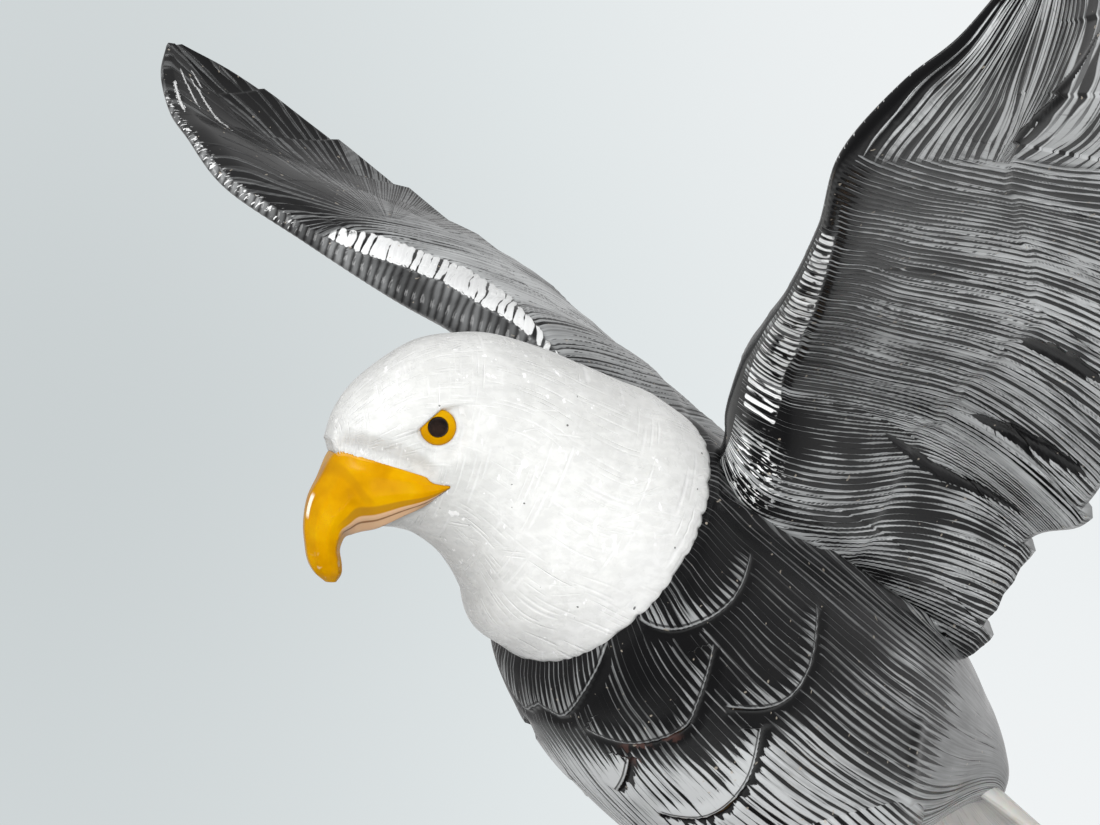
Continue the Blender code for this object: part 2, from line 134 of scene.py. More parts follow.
def within(where, first, last):
    """1 along a line, easing to 0 over the given shares of it at its two ends."""
    return eased(where / first) * eased((1 - where) / last)


def oval(around, wide, side, high, up):
    """A ring round nothing yet: so wide along one direction, so high along the other."""
    return (np.cos(around) * wide)[:, None] * side + (np.sin(around) * high)[:, None] * up


def scatter(*keys):
    """A repeatable fraction for whole numbers."""
    total = sum(key * weight for key, weight in zip(keys, (12.9898, 78.233, 37.719)))
    value = np.sin(total) * 43758.5453
    return value - np.floor(value)


def drift(x, y, seed):
    """Smooth wander from -1 to 1."""
    i = np.floor(x)
    j = np.floor(y)
    a = eased(x - i)
    b = eased(y - j)
    low = scatter(i, j, seed) * (1 - a) + scatter(i + 1, j, seed) * a
    high = scatter(i, j + 1, seed) * (1 - a) + scatter(i + 1, j + 1, seed) * a
    return 2 * (low * (1 - b) + high * b) - 1


def near_line(x, y, points):
    """Signed distance from the smooth line through the points, and how far along it the nearest place is."""
    points = np.asarray(points, float)
    path = smooth(np.linspace(0, 1, len(points)), points, np.linspace(0, 1, 33))
    best = np.full(np.shape(x), 1e9)
    side = np.ones_like(best)
    where = np.zeros_like(best)
    for k in range(32):
        (ax, ay), (bx, by) = path[k], path[k + 1]
        ux, uy = bx - ax, by - ay
        t = np.clip(((x - ax) * ux + (y - ay) * uy) / (ux * ux + uy * uy), 0, 1)
        dx, dy = x - ax - t * ux, y - ay - t * uy
        gap = dx * dx + dy * dy
        closer = gap < best
        best = np.where(closer, gap, best)
        side = np.where(closer, np.sign(ux * dy - uy * dx), side)
        where = np.where(closer, (k + t) / 32, where)
    return np.sqrt(best) * side, where


# Pieces made from grids


def carved(name, rings, material, node, **maps):
    """A grid rolled round the form: its sides are joined and its first and last rings close to a point.

    Each map gives two values for every point, kept as a UV layer that the finishes read."""
    rings = np.asarray(rings, float)
    first, last = (np.repeat(ring.mean(axis=1, keepdims=True), rings.shape[1], axis=1)
                   for ring in (rings[:1], rings[-1:]))
    rings = np.concatenate([first, rings, last])
    rings = np.concatenate([rings, rings[:, :1]], axis=1)
    rows, columns = rings.shape[:2]
    bpy.ops.object.select_all(action="DESELECT")
    bpy.ops.mesh.primitive_grid_add(x_subdivisions=columns - 1, y_subdivisions=rows - 1, size=0.1)
    made = bpy.context.object
    made.name = name
    mesh = made.data
    mesh.name = name
    if len(mesh.vertices) != rows * columns:
        raise ValueError(f"{name}: the grid has {len(mesh.vertices)} points for {rows * columns}")
    mesh.vertices.foreach_set("co", rings.reshape(-1))
    loops = np.empty(len(mesh.loops), np.int32)
    mesh.loops.foreach_get("vertex_index", loops)
    if maps:
        mesh.uv_layers.remove(mesh.uv_layers[0])
    for word, pair in maps.items():
        values = np.stack(np.broadcast_arrays(*pair), -1)
        values = np.concatenate([values[:1], values, values[-1:]])
        values = np.concatenate([values, 2 * values[:, -1:] - values[:, -2:-1]], axis=1).reshape(-1, 2)
        layer = mesh.uv_layers.new(name=word)
        layer.data.foreach_set("uv", values[loops].reshape(-1))
    bpy.ops.object.mode_set(mode="EDIT")
    bpy.ops.mesh.select_all(action="SELECT")
    bpy.ops.mesh.remove_doubles(threshold=1e-6)
    bpy.ops.mesh.normals_make_consistent(inside=False)
    bpy.ops.object.mode_set(mode="OBJECT")
    bpy.ops.object.shade_smooth()
    made.data.materials.clear()
    made.data.materials.append(material)
    if node:
        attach(made, "root")
        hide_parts(node)
    return made


def combine(target, other, how):
    """A Boolean with a helper, applied; the helper is then removed."""
    bpy.ops.object.select_all(action="DESELECT")
    bpy.context.view_layer.objects.active = target
    target.select_set(True)
    step = target.modifiers.new(how.lower(), "BOOLEAN")
    step.object = other
    step.operation = how
    step.solver = "EXACT"
    bpy.ops.object.modifier_apply(modifier=step.name)
    bpy.data.objects.remove(other, do_unlink=True)


def turns(columns):
    return (np.arange(columns) + 0.5) * 2 * math.pi / columns


# Trunk

COLLAR_SHARE = NECK_RADIUS / BODY_LENGTH
BODY_AT = [0.0, 0.03, 0.07, 0.13, 0.20, 0.28, 0.36, 0.47,
           0.59, 0.70, 0.78, 0.84, 0.89, 0.94, 0.975, 1.0]
BODY_WIDE = [COLLAR_SHARE, 0.243, 0.249, 0.256, 0.260, 0.262, 0.262, 0.258,
             0.243, 0.212, 0.178, 0.150, 0.130, 0.110, 0.095, 0.075]
BODY_BACK = [COLLAR_SHARE, 0.237, 0.240, 0.243, 0.247, 0.250, 0.253, 0.256,
             0.257, 0.247, 0.227, 0.203, 0.181, 0.148, 0.115, 0.084]
BODY_BELLY = [COLLAR_SHARE, 0.266, 0.294, 0.318, 0.340, 0.355, 0.364, 0.366,
              0.345, 0.292, 0.215, 0.135, 0.072, 0.018, -0.008, -0.022]

# Breast feathers: the raised rim of each, as share along the trunk and degrees round it from the left side
RIMS = [
    [(0.0, -49), (0.033, -63.5), (0.063, -78), (0.055, -85), (0.045, -91.5)],
    [(0.108, -14.5), (0.153, -32), (0.168, -41.5), (0.140, -59.5), (0.083, -74)],
    [(0.0, -35.5), (0.058, -19.5), (0.100, -1), (0.103, 17)],
    [(0.263, 19), (0.291, -1), (0.271, -15), (0.190, -27)],
    [(0.263, -21), (0.323, -38.5), (0.333, -56.5), (0.281, -71)],
    [(0.158, -62.5), (0.193, -70), (0.221, -78.5)],
]
BODY_LINES = 142
BODY_MM = BODY_LENGTH / MM
MM_A_DEGREE = 0.309
NO_RIM_MM = 4.0  # from here on no rim is near
# Two folds where the wing is let onto the flank: mm round the trunk and along it
LONG_FOLD = [(8, 2), (9.6, 9), (12, 17), (12.8, 28.6), (14.8, 42)]
SHORT_FOLD = [(4.2, 38.5), (-1.1, 41), (-8, 46.7)]
# How far down the dark upper part reaches, by degrees round the trunk: the flats are painted dark above it and pale
# below it, as painted reflection
PAINTED_DARK_UNTIL = [(-90, 0.113), (-60.5, 0.175), (-44, 0.233), (-26.5, 0.286), (-3.5, 0.361), (28, 0.476), (90, 0.60)]


def folded(around):
    """Degrees from the flank, -90 at the belly and 90 at the back, the same on both sides."""
    angle = (np.degrees(around) + 270) % 360 - 270
    return np.where(angle < -90, -180 - angle, np.where(angle > 90, 180 - angle, angle))


def body_rims(along, angle):
    """Distance past the nearest rim in mm, and how strong the rim is there."""
    nearest = np.full(along.shape, NO_RIM_MM)
    strength = np.zeros_like(along)
    for points in RIMS:
        line = sorted((degree * MM_A_DEGREE, share * BODY_MM) for share, degree in points)
        gap, where = near_line(angle * MM_A_DEGREE, along * BODY_MM, line)
        there = within(where, 0.10, 0.08) * eased((2.6 - np.abs(gap)) / 0.8)
        better = there > strength
        nearest = np.where(better, gap, nearest)
        strength = np.where(better, there, strength)
    return np.clip(nearest, -NO_RIM_MM, NO_RIM_MM), strength


def body_height(along, around, gap, strength):
    """Carving of the trunk, in mm."""
    height = 0.22 * (stretch(gap, -2.4, 2.2, 0.02, 0.30) - stretch(gap, 0.05, 0.30, 0.6, 1.2)) * strength
    x, y = folded(around) * MM_A_DEGREE, along * BODY_MM
    fold, where = near_line(x, y, LONG_FOLD)
    height = height + (0.40 * bell(fold, 0, 0.8) + 0.25 * bell(np.abs(fold), 0.1, 0.25)) * within(where, 0.1, 0.1)
    fold, where = near_line(x, y, SHORT_FOLD)
    height = height + 0.30 * bell(fold, 0, 0.9) * within(where, 0.3, 0.2)
    collar_step = 0.45 * (1 - eased((along - 0.004) / 0.012))
    return height * eased(along / 0.02) - collar_step


def body_across(along, around):
    """Which hand-cut line lies here, counted round the trunk."""
    angle = folded(around)
    wander = 0.40 * drift(along * 4, angle / 30, 2.0) + 0.10 * drift(along * 15, angle / 9, 5.0)
    return around / (2 * math.pi) * BODY_LINES + wander * eased(along / 0.1)


def body_flats_painted_sheen(along, around):
    """How much room the pale flats take between the black cuts, and how pale they are. Their paleness is painted
    reflection: dark on the upper part, pale low on the breast, an even grey on the rump.
    """
    angle = folded(around)
    border = np.interp(angle, *zip(*PAINTED_DARK_UNTIL))
    low = eased((along - border) / 0.09 + 0.5)
    belly = 1 - eased((angle + 42) / 40)
    rump = eased((along - 0.60) / 0.12) * eased((angle + 20) / 20)
    upper = 0.14 + 0.24 * eased((along - border) / 0.3 + 1) * eased((angle + 10) / 50)
    share = upper * (1 - low) + (0.50 + 0.34 * belly) * low
    pale = (0.28 + 0.20 * low) * (1 - belly * low) + 1.00 * belly * low
    return share * (1 - rump) + 1.25 * rump, pale * (1 - rump) + 0.33 * rump


def body_ring(share, around):
    """One ring of the trunk, and which way is out at each of its points."""
    wide, back, belly = (float(smooth(BODY_AT, table, share)) * BODY_LENGTH
                         for table in (BODY_WIDE, BODY_BACK, BODY_BELLY))
    middle = NECK + share * BODY_LENGTH * BACKWARD + OVER_BACK * (back - belly) / 2
    high = (back + belly) / 2
    return middle + oval(around, wide, LEFT, high, OVER_BACK), unit(oval(around, high, LEFT, wide, OVER_BACK))


def neck_ring(along, radius, columns):
    return NECK + along * BACKWARD + oval(turns(columns), radius, LEFT, radius, OVER_BACK)


THIGH_AT = [0.0, 0.2, 0.45, 0.7, 0.9, 1.0]
THIGH_RADIUS = [0.030, 0.140, 0.190, 0.160, 0.092, 0.052]
THIGH_WIDE = 0.60
THIGH_DEEP = 1.10
HIP_AT = (0.090, 0.50, 0.02)


def foot_place(side, height):
    return np.array([side * LEG_SPREAD / 2, LEG_AHEAD, height])


def thigh_rings(side, rows, columns):
    hip = NECK + (side * HIP_AT[0] * LEFT + HIP_AT[1] * BACKWARD + HIP_AT[2] * OVER_BACK) * BODY_LENGTH
    ankle = foot_place(side, BASE_HEIGHT + LEG_HEIGHT)
    around = turns(columns)
    rings = []
    for share in np.linspace(0, 1, rows):
        middle = hip + (ankle - hip) * share
        radius = float(smooth(THIGH_AT, THIGH_RADIUS, share)) * BODY_LENGTH
        rings.append(middle + oval(around, radius * THIGH_WIDE, LEFT, radius * THIGH_DEEP, BACK))
    return np.array(rings)


def build_body(material):
    columns = 410
    around = turns(columns)
    shares = np.linspace(0, 1, 190)
    rings = [neck_ring(along, NECK_PEG_RADIUS, columns) for along in (-NECK_PEG_LENGTH, 0.0)]
    along, spread = np.meshgrid(shares, around, indexing="ij")
    gap, strength = body_rims(along, folded(spread))
    height = body_height(along, spread, gap, strength)
    for share, push in zip(shares, height):
        ring, out = body_ring(share, around)
        rings.append(ring + out * (push * MM)[:, None])

    def padded(*values):
        return [np.concatenate([value[:1], value[:1], value]) for value in values]

    made = carved("carved_body", rings, material, "body", lines=padded(body_across(along, spread), along * BODY_MM),
                  rims=padded(gap, strength), tone=padded(*body_flats_painted_sheen(along, spread)))
    for side in (1, -1):
        rings = thigh_rings(side, 50, 120)
        from_neck = (rings - NECK) / BODY_LENGTH
        along = from_neck @ BACKWARD
        turned = np.arctan2(from_neck @ OVER_BACK + 0.05, from_neck @ LEFT) % (2 * math.pi)
        combine(made, carved("thigh", rings, material, None, lines=(body_across(along, turned), along * BODY_MM),
                             rims=(0 * along + NO_RIM_MM, 0), tone=body_flats_painted_sheen(np.clip(along, 0, 0.6), turned)), "UNION")


# Wings

WING_AT = [0.0, 0.10, 0.19, 0.28, 0.39, 0.52, 0.64, 0.76, 0.86, 0.94, 1.0]
WING_FRONT = [(0.055, -0.165, 1.045), (0.199, -0.233, 1.122), (0.274, -0.267, 1.233), (0.362, -0.314, 1.286),
              (0.463, -0.364, 1.336), (0.601, -0.437, 1.423), (0.716, -0.512, 1.510), (0.826, -0.516, 1.594),
              (0.907, -0.503, 1.645), (0.966, -0.482, 1.708), (1.000, -0.452, 1.752)]
WING_BACK = [(0.085, 0.365, 0.745), (0.190, 0.302, 0.812), (0.272, 0.314, 0.955), (0.384, 0.295, 1.000),
             (0.480, 0.253, 1.110), (0.630, 0.096, 1.322), (0.753, -0.041, 1.452), (0.842, -0.130, 1.542),
             (0.904, -0.236, 1.630), (0.962, -0.330, 1.704), (0.994, -0.424, 1.757)]
WING_CAMBER = [0.00, 0.045, 0.070, 0.089, 0.082, 0.055, 0.022, -0.008, -0.020, -0.014, 0.0]
WING_THICK = [0.110, 0.150, 0.098, 0.070, 0.056, 0.047, 0.038, 0.028, 0.021, 0.015, 0.007]
WING_SEAT = np.array([0.0, -0.315, 0.986])
BACK_STEPS = np.linalg.norm(np.diff(np.array(WING_BACK), axis=0), axis=1)
BACK_LENGTH = np.concatenate([[0.0], np.cumsum(BACK_STEPS)]) / BACK_STEPS.sum()
SPAN_MM = 92.0
CHORD_MM = 31.0
MID_STEPS = np.linalg.norm(np.diff((np.array(WING_FRONT) + np.array(WING_BACK)) / 2, axis=0), axis=1)
MID_STEPS[:3] *= [1.9, 1.9, 1.25]  # the strokes stand closer near the root
MID_MM = np.concatenate([[-25.0, 0.0], np.cumsum(MID_STEPS) * WING_REACH / MM, [122.0]])
MID_AT = [-0.2] + WING_AT + [1.2]

# How far the long strokes stray along the span as they run back over the chord, at four places on the span
STRAY_AT = [0.19, 0.32, 0.43, 0.63]
STRAY = [
    [(0.0, 0.0), (0.12, 0.0), (0.38, 0.010), (0.615, 0.040), (1.0, 0.085)],
    [(0.0, 0.0), (0.12, 0.0), (0.385, -0.018), (0.635, 0.022), (1.0, 0.065)],
    [(0.0, 0.0), (0.11, 0.0), (0.30, -0.022), (0.49, -0.020), (0.70, 0.003), (1.0, 0.030)],
    [(0.0, 0.016), (0.04, 0.012), (0.355, -0.025), (0.72, -0.033), (1.0, -0.010)],
]
# Where the coverts end, as a share of the chord, from root to tip
ROW_AT = [0.0, 0.20, 0.23, 0.262, 0.37, 0.40, 0.455, 0.60, 1.0]
ROW_EDGE = [0.45, 0.55, 0.61, 0.56, 0.615, 0.635, 0.725, 0.60, 0.30]

# Deep cuts on the underside: span, chord of each point, then depth and half width in mm
HOLLOWS = [
    ([(0.175, 0.40), (0.170, 0.61), (0.188, 0.785), (0.220, 0.965)], 0.40, 0.5),
    ([(0.270, 0.62), (0.290, 0.74), (0.318, 0.86), (0.345, 0.97)], 0.70, 0.95),
    ([(0.418, 0.68), (0.432, 0.80), (0.446, 0.95)], 0.50, 0.75),
    ([(0.678, 0.535), (0.755, 0.535), (0.830, 0.645), (0.920, 0.96)], 0.50, 0.5),
]
ROOT_RIDGE = [(0.062, 0.03), (0.075, 0.16), (0.072, 0.34), (0.055, 0.625), (0.062, 0.865)]

# Painted highlights, long bright streaks near the tip of the right wing: span and chord along each, then half width in
# mm
PAINTED_STREAKS = [
    ([(0.945, 0.31), (0.86, 0.285), (0.765, 0.25)], 0.46),
    ([(0.955, 0.22), (0.90, 0.20), (0.85, 0.19)], 0.42),
    ([(0.920, 0.08), (0.87, 0.065), (0.82, 0.06)], 0.42),
    ([(0.955, 0.40), (0.91, 0.37)], 0.40),
]

# On the two faces of a wing: span and chord, how much room the flats take there and how pale they are, the paleness
# being painted sheen
UNDER_FLATS = [
    (0.80, 0.30, 0.62, 0.66), (0.90, 0.60, 0.60, 0.66), (0.72, 0.70, 0.60, 0.60), (0.66, 0.30, 0.60, 0.54),
    (0.61, 0.05, 0.15, 0.30), (0.55, 0.30, 0.50, 0.48), (0.52, 0.70, 0.76, 0.54), (0.45, 0.10, 0.18, 0.33),
    (0.42, 0.35, 0.62, 0.48), (0.40, 0.60, 0.76, 0.51), (0.33, 0.12, 0.50, 0.30), (0.32, 0.40, 0.76, 0.36),
    (0.26, 0.45, 0.78, 0.38), (0.24, 0.10, 0.45, 0.27), (0.20, 0.25, 0.60, 0.33), (0.35, 0.82, 0.66, 0.39),
    (0.25, 0.80, 0.90, 0.48), (0.21, 0.62, 0.94, 0.51), (0.145, 0.10, 0.10, 0.45), (0.125, 0.35, 0.24, 0.45),
    (0.145, 0.60, 0.34, 0.45), (0.150, 0.88, 0.62, 0.45), (0.092, 0.12, 0.62, 0.48), (0.090, 0.45, 0.58, 0.42),
    (0.060, 0.75, 0.55, 0.42)]
UPPER_FLATS = [
    (0.90, 0.30, 0.30, 0.14), (0.75, 0.20, 0.18, 0.10), (0.70, 0.50, 0.45, 0.15), (0.60, 0.20, 0.25, 0.13),
    (0.58, 0.50, 0.70, 0.28), (0.50, 0.50, 1.15, 0.60), (0.45, 0.60, 1.30, 1.00), (0.33, 0.45, 1.30, 1.00),
    (0.19, 0.30, 1.00, 0.60), (0.10, 0.30, 0.75, 0.40)]


def near_wing_line(span, chord, points):
    """Signed distance in mm from a line on the wing, and how far along it the nearest place is."""
    return near_line(span * SPAN_MM, chord * CHORD_MM, np.array(points) * (SPAN_MM, CHORD_MM))


def feather_place(span):
    """How many flight feathers lie between the root and here."""
    return WING_FEATHERS * np.interp(span, WING_AT, BACK_LENGTH)


def feather_edge(span):
    place = feather_place(span)
    teeth = 0.010 * np.abs(2 * ((place * 3.2) % 1.0) - 1) * bump(span, 0.13, 0.09)
    return (0.045 * (place - np.floor(place)) + teeth) * np.clip((1 - span) * 16, 0, 1)


def wing_steps(span, chord, upper):
    """The broad relief of the solid: the row of coverts, then flight feathers that overlap, in metres."""
    place = feather_place(span)
    over = 0.0060 * (1 - eased((chord - 0.48) / 0.06))
    below = 0.0050 * (1 - eased((chord - np.interp(span, ROW_AT, ROW_EDGE) + 0.02) / 0.04))
    coverts = np.where(upper < 0, below, over) * eased(chord / 0.1)
    feathers = 0.0055 * (place - np.floor(place)) * eased((chord - 0.50) / 0.15) * np.where(upper < 0, 0.5, 1.0)
    return (coverts + feathers * eased((1 - span) * 20)) * WING_REACH


def wing_sheet(span, chord, side):
    """A point half way through the wing's thickness."""
    front = smooth(WING_AT, WING_FRONT, span)
    back = smooth(WING_AT, WING_BACK, span)
    back = back + (back - front) * feather_edge(span)[..., None]
    rise = smooth(WING_AT, WING_CAMBER, span) * 4 * chord * (1 - chord)
    point = front + (back - front) * chord[..., None] + rise[..., None] * UP - WING_SEAT
    point[..., 0] *= side
    return NECK + point * WING_REACH


def wing_normal(span, chord, side):
    step = 0.012
    along = wing_sheet(np.clip(span + step, 0, 1), chord, side) - wing_sheet(np.clip(span - step, 0, 1), chord, side)
    across = wing_sheet(span, np.clip(chord + step, 0, 1), side) - wing_sheet(span, np.clip(chord - step, 0, 1), side)
    return unit(np.cross(along, across) * side)


def band_edges(span, under):
    """Where the ribbed face of the front edge starts and ends over the chord."""
    if under:
        start = 0.0008 + 0 * span
        end = np.interp(span, [0.0, 0.08, 0.115, 0.143, 0.182, 0.29, 0.41, 0.498, 0.56, 1.0],
                        [0.016, 0.024, 0.036, 0.053, 0.068, 0.072, 0.052, 0.034, 0.024, 0.01])
    else:
        start = np.interp(span, [0.0, 0.19, 0.217, 0.276, 0.342, 0.411, 0.456, 0.50, 1.0],
                          [0.05, 0.04, 0.045, 0.058, 0.078, 0.064, 0.033, 0.02, 0.004])
        end = np.interp(span, [0.0, 0.190, 0.229, 0.307, 0.400, 0.427, 0.469, 0.493, 0.60, 1.0],
                        [0.08, 0.075, 0.110, 0.210, 0.250, 0.200, 0.155, 0.090, 0.05, 0.02])
    return start, end


def in_band(span, chord, under, side):
    """1 on the ribbed face and 0 off it; then 1 on the narrow face in front of it."""
    start, end = band_edges(span, under)
    nowhere = 0 * span
    if under and side < 0:
        return nowhere, 1 - eased((chord - end) / 0.01)
    if under:
        inside = stretch(chord, start, 0.0016, end - 0.006, 0.012)
        return 0.62 * inside * stretch(span, 0.125, 0.03, 0.50, 0.06), nowhere
    if side > 0:
        return nowhere, nowhere
    inside = stretch(chord, start, 0.010, end - 0.006, 0.010)
    return inside * stretch(span, 0.15, 0.05, 0.47, 0.05), 1 - eased((chord - start) / 0.010)


def wing_across(span, chord, under):
    """Which long stroke lies here, counted along the span."""
    chord = chord * (1 + feather_edge(span))
    strays = [smooth([at for at, stray in curve], [stray for at, stray in curve], chord) for curve in STRAY]
    place = np.interp(span, STRAY_AT, range(len(STRAY_AT)))
    stray = sum(np.clip(1 - np.abs(place - k), 0, 1) * curve for k, curve in enumerate(strays))
    seed = 40.0 if under else 80.0
    wander = 0.30 * drift(span * 18, chord * 2, seed) + 0.12 * drift(span * 50, chord * 5, seed + 2)
    return np.interp(span - stray, MID_AT, MID_MM) / 1.02 + wander


def hand_fan(span, chord, under):
    """Strokes of the hand: which one, and how far out in mm. Each row of the two grids has one span."""
    if under:
        start = np.linspace(0, 1, 201)
        spread = np.interp(start, [0, 0.5, 0.535, 0.60, 1.0], [0.0, -0.53, 0.0, 1.2, 1.2])
        bend = np.interp(start, [0, 0.5, 0.535, 0.60, 1.0], [0.0, 0.0, 5.0, 3.4, 3.4])
        rows = []
        for beyond, row in zip(np.maximum(span[:, 0] - 0.66, 0), chord * (1 + feather_edge(span))):
            rows.append(np.interp(row, start + spread * beyond + bend * beyond**2, start))
        line = np.array(rows)
        return line * 27 + 8 * eased((line - 0.5) / 0.035), (span - 0.60) * SPAN_MM
    wrist = wing_sheet(np.array([0.495]), np.array([0.232]), -1)[0]
    away = (wing_sheet(span, chord, -1) - wrist) / MM
    flat, rise = away @ RIGHT, away @ ABOVE
    return np.arctan2(rise, -flat) * 21, np.hypot(flat, rise)


def hand_share(span, chord, under):
    if under:
        return eased((span - 0.672 - 0.05 * (chord - 0.5)) / 0.016)
    return eased((span - 0.500 - 0.03 * chord) / 0.02)


def hollow_depth(span, chord):
    """The deep cuts of the underside, in mm, and a share that is 1 in their middle."""
    deepest = np.zeros_like(span)
    inside = np.zeros_like(span)
    for points, deep, wide in HOLLOWS:
        gap, where = near_wing_line(span, chord, points)
        lens = np.sin(math.pi * np.clip(where, 0.02, 0.98)) ** 0.6
        ragged = 1 + 0.25 * drift(where * 14, gap, 51.0)
        shape = np.exp(-(gap / (wide * (0.30 + 0.70 * lens) * ragged)) ** 4) * lens
        deepest = np.maximum(deepest, deep * shape)
        inside = np.maximum(inside, shape)
    return deepest, inside


def root_ridge(span, chord):
    """Two ridges side by side where the wing leaves the body, and the groove between them."""
    gap, where = near_wing_line(span, chord, ROOT_RIDGE)
    ends = eased(where / 0.05)
    return np.maximum(bell(gap, 0, 0.30), 0.8 * bell(gap, 0.95, 0.28)) * ends, bell(gap, 0.48, 0.20) * ends


def wing_height(span, chord, under, side):
    """Carving of a wing's face, in mm, without the finest strokes."""
    across = wing_across(span, chord, under)
    hand = hand_share(span, chord, under)
    groove = np.cos(2 * math.pi * (across - 0.5)) * (1 - hand)
    if under:
        groove = groove + np.cos(2 * math.pi * (hand_fan(span, chord, under)[0] - 0.5)) * hand
    height = 0.035 * groove
    if under:
        height = height - hollow_depth(span, chord)[0]
        ridges, between = root_ridge(span, chord)
        height = height + 0.35 * ridges - 0.25 * between
    band, front = in_band(span, chord, under, side)
    band = eased((band - 0.3) / 0.2)
    rib = 0.10 * np.cos(2 * math.pi * rib_place(span, chord, side))
    height = height * (1 - band) + (rib + 0.10) * band
    end = band_edges(span, under)[1]
    return height - 0.20 * stretch(span, 0, 0.05, 0.50, 0.12) * bell(chord, end + 0.006, 0.010)


def rib_place(span, chord, side):
    """Which rib of the front edge lies here; those of the right wing stand upright as seen."""
    wander = (0.35 if side > 0 else 0.18) * drift(span * 40, chord * 12, 31.0)
    if side > 0:
        return span * SPAN_MM / 0.92 + wander
    place = (wing_sheet(span, chord, side) - NECK) / MM
    return (place @ RIGHT - 0.25 * (place @ ABOVE)) / 1.05 + wander


def wing_flats(span, chord, under, side):
    """Room for the flats, and how pale they are: painted sheen, with painted highlights on the root ridges and painted
    shade in the deep hollows and the groove between the ridges.
    """
    known = []
    weights = []
    for at, back, *values in UNDER_FLATS if under else UPPER_FLATS:
        known.append(values)
        weights.append((((span - at) * SPAN_MM) ** 2 + ((chord - back) * CHORD_MM) ** 2 + 0.8) ** -1.5)
    share, pale = np.tensordot(np.transpose(known), weights, 1) / sum(weights)
    if under:
        # Painted highlights on the root ridges; painted shade in the deep hollows and in the groove between the ridges
        ridges, between = root_ridge(span, chord)
        dark = np.maximum(hollow_depth(span, chord)[1], between)
        share = share + 0.9 * ridges - 1.3 * eased((dark - 0.30) / 0.2)
        share = share - 1.5 * eased((span - 0.52) / 0.04) * (1 - eased((chord - 0.012) / 0.02))
        # A paler painted sheen on the underside, paler still towards the hand
        pale = pale * (1.62 + 0.30 * eased((span - 0.44) / 0.08))
    elif side > 0:
        share = share - 1.5 * (1 - eased((chord - 0.03) / 0.03))
    return share, pale


def wing_maps(span, chord, upper, side):
    """What the finish reads: stroke lines, the fan of the hand, the flats and their painted sheen, the ribbed edge,
    and the painted glints.
    """
    under = upper[None, :] < 0

    def both(make):
        return [np.where(under, low, high) for low, high in zip(make(True), make(False))]

    def fanned(face):
        bearing, reach = hand_fan(span, chord, face)
        return bearing + 0.25 * drift(reach / 6, bearing / 4, 21.0), reach

    def glints(face):
        # Painted highlights: sparkles near the root and along the front edge, and the long streaks near the right
        # wing's tip
        if face:
            near = 0.48 * bell(span, 0.10, 0.045) * bell(chord, 0, 0.17)
        else:
            near = bell(chord, 0, 0.05) * stretch(span, 0.50, 0.05, 0.86, 0.08) * (0.38 if side < 0 else 0.30)
            if side < 0:
                for points, wide in PAINTED_STREAKS:
                    gap, where = near_wing_line(span, chord, points)
                    near = np.maximum(near, bell(gap, 0, wide) * within(where, 0.1, 0.3))
        return near, hand_share(span, chord, face)

    behind = chord * (1 + feather_edge(span)) * CHORD_MM
    past_row = (chord - np.interp(span, ROW_AT, ROW_EDGE)) * CHORD_MM
    band, front = both(lambda face: in_band(span, chord, face, side))
    return {"lines": (wing_across(span, chord, True), behind), "fan": both(fanned),
            "tone": both(lambda face: wing_flats(span, chord, face, side)),
            "ribs": (rib_place(span, chord, side), band), "rows": (past_row, front), "glints": both(glints)}


def build_wing(side, word, material):
    rows_a_feather, half_columns = 38, 112
    places = [k + part for k in range(WING_FEATHERS) for part in np.linspace(0.0, 0.985, rows_a_feather)]
    spans = np.interp(np.array(places + [WING_FEATHERS]) / WING_FEATHERS, BACK_LENGTH, WING_AT)
    opening = np.linspace(0, 1, half_columns + 1) ** 1.5
    chords = np.concatenate([opening, opening[-2:0:-1]])
    upper = np.concatenate([np.ones(half_columns + 1), -np.ones(half_columns - 1)])
    upper[0] = 0
    upper[half_columns] = 0
    span, chord = np.meshgrid(spans, chords, indexing="ij")
    sheet = wing_sheet(span, chord, side)
    across = wing_normal(span, np.clip(chord, 0.02, 0.98), side)
    thick = smooth(WING_AT, WING_THICK, spans)[:, None] * WING_REACH
    roll = chord / 0.16
    half = thick * np.sqrt(roll) * np.exp(0.5 * (1 - roll)) / 2 + wing_steps(span, chord, upper[None, :])
    fade = eased(chord / 0.002) * eased((1 - chord) / 0.012) * eased((1 - span) / 0.01)
    cut = np.where(upper[None, :] < 0, wing_height(span, chord, True, side), wing_height(span, chord, False, side))
    thin = np.minimum(1, half / (0.9 * MM))
    half = half + cut * MM * fade * thin
    rings = sheet + (upper[None, :] * half)[..., None] * across
    carved("carved_wing_" + word, rings, material, "wing_" + word, **wing_maps(span, chord, upper, side))


# Head and beak

CROWN = [(-0.187, 0.524), (-0.078, 0.554), (0.085, 0.626), (0.238, 0.687), (0.398, 0.731), (0.527, 0.735),
         (0.656, 0.714), (0.765, 0.660), (0.861, 0.592), (0.932, 0.520), (0.976, 0.445), (0.997, 0.371)]
THROAT = [(0.371, -0.401), (0.439, -0.333), (0.486, -0.221), (0.534, -0.126), (0.595, -0.048), (0.677, 0.014),
          (0.735, 0.034), (0.796, 0.041), (0.857, 0.050), (0.905, 0.078), (0.946, 0.155), (0.985, 0.340)]
HEAD_WIDE = [0.535, 0.512, 0.472, 0.428, 0.395, 0.370, 0.345, 0.306, 0.252, 0.192, 0.132, 0.080]
BROW = [(0.52, 0.497), (0.65, 0.476), (0.735, 0.400), (0.85, 0.352), (0.93, 0.337)]
EYE_AT = (0.660, 0.412, 0.312)
EYE_LOOKS = (0.20, 0.05, 0.97)
# How far the rims of the yellow ring and the pupil stand over the flank, and the pupil's dome
EYE_RIM = 0.00010
PUPIL_RIM = 0.00045
PUPIL_DOME = 0.00030
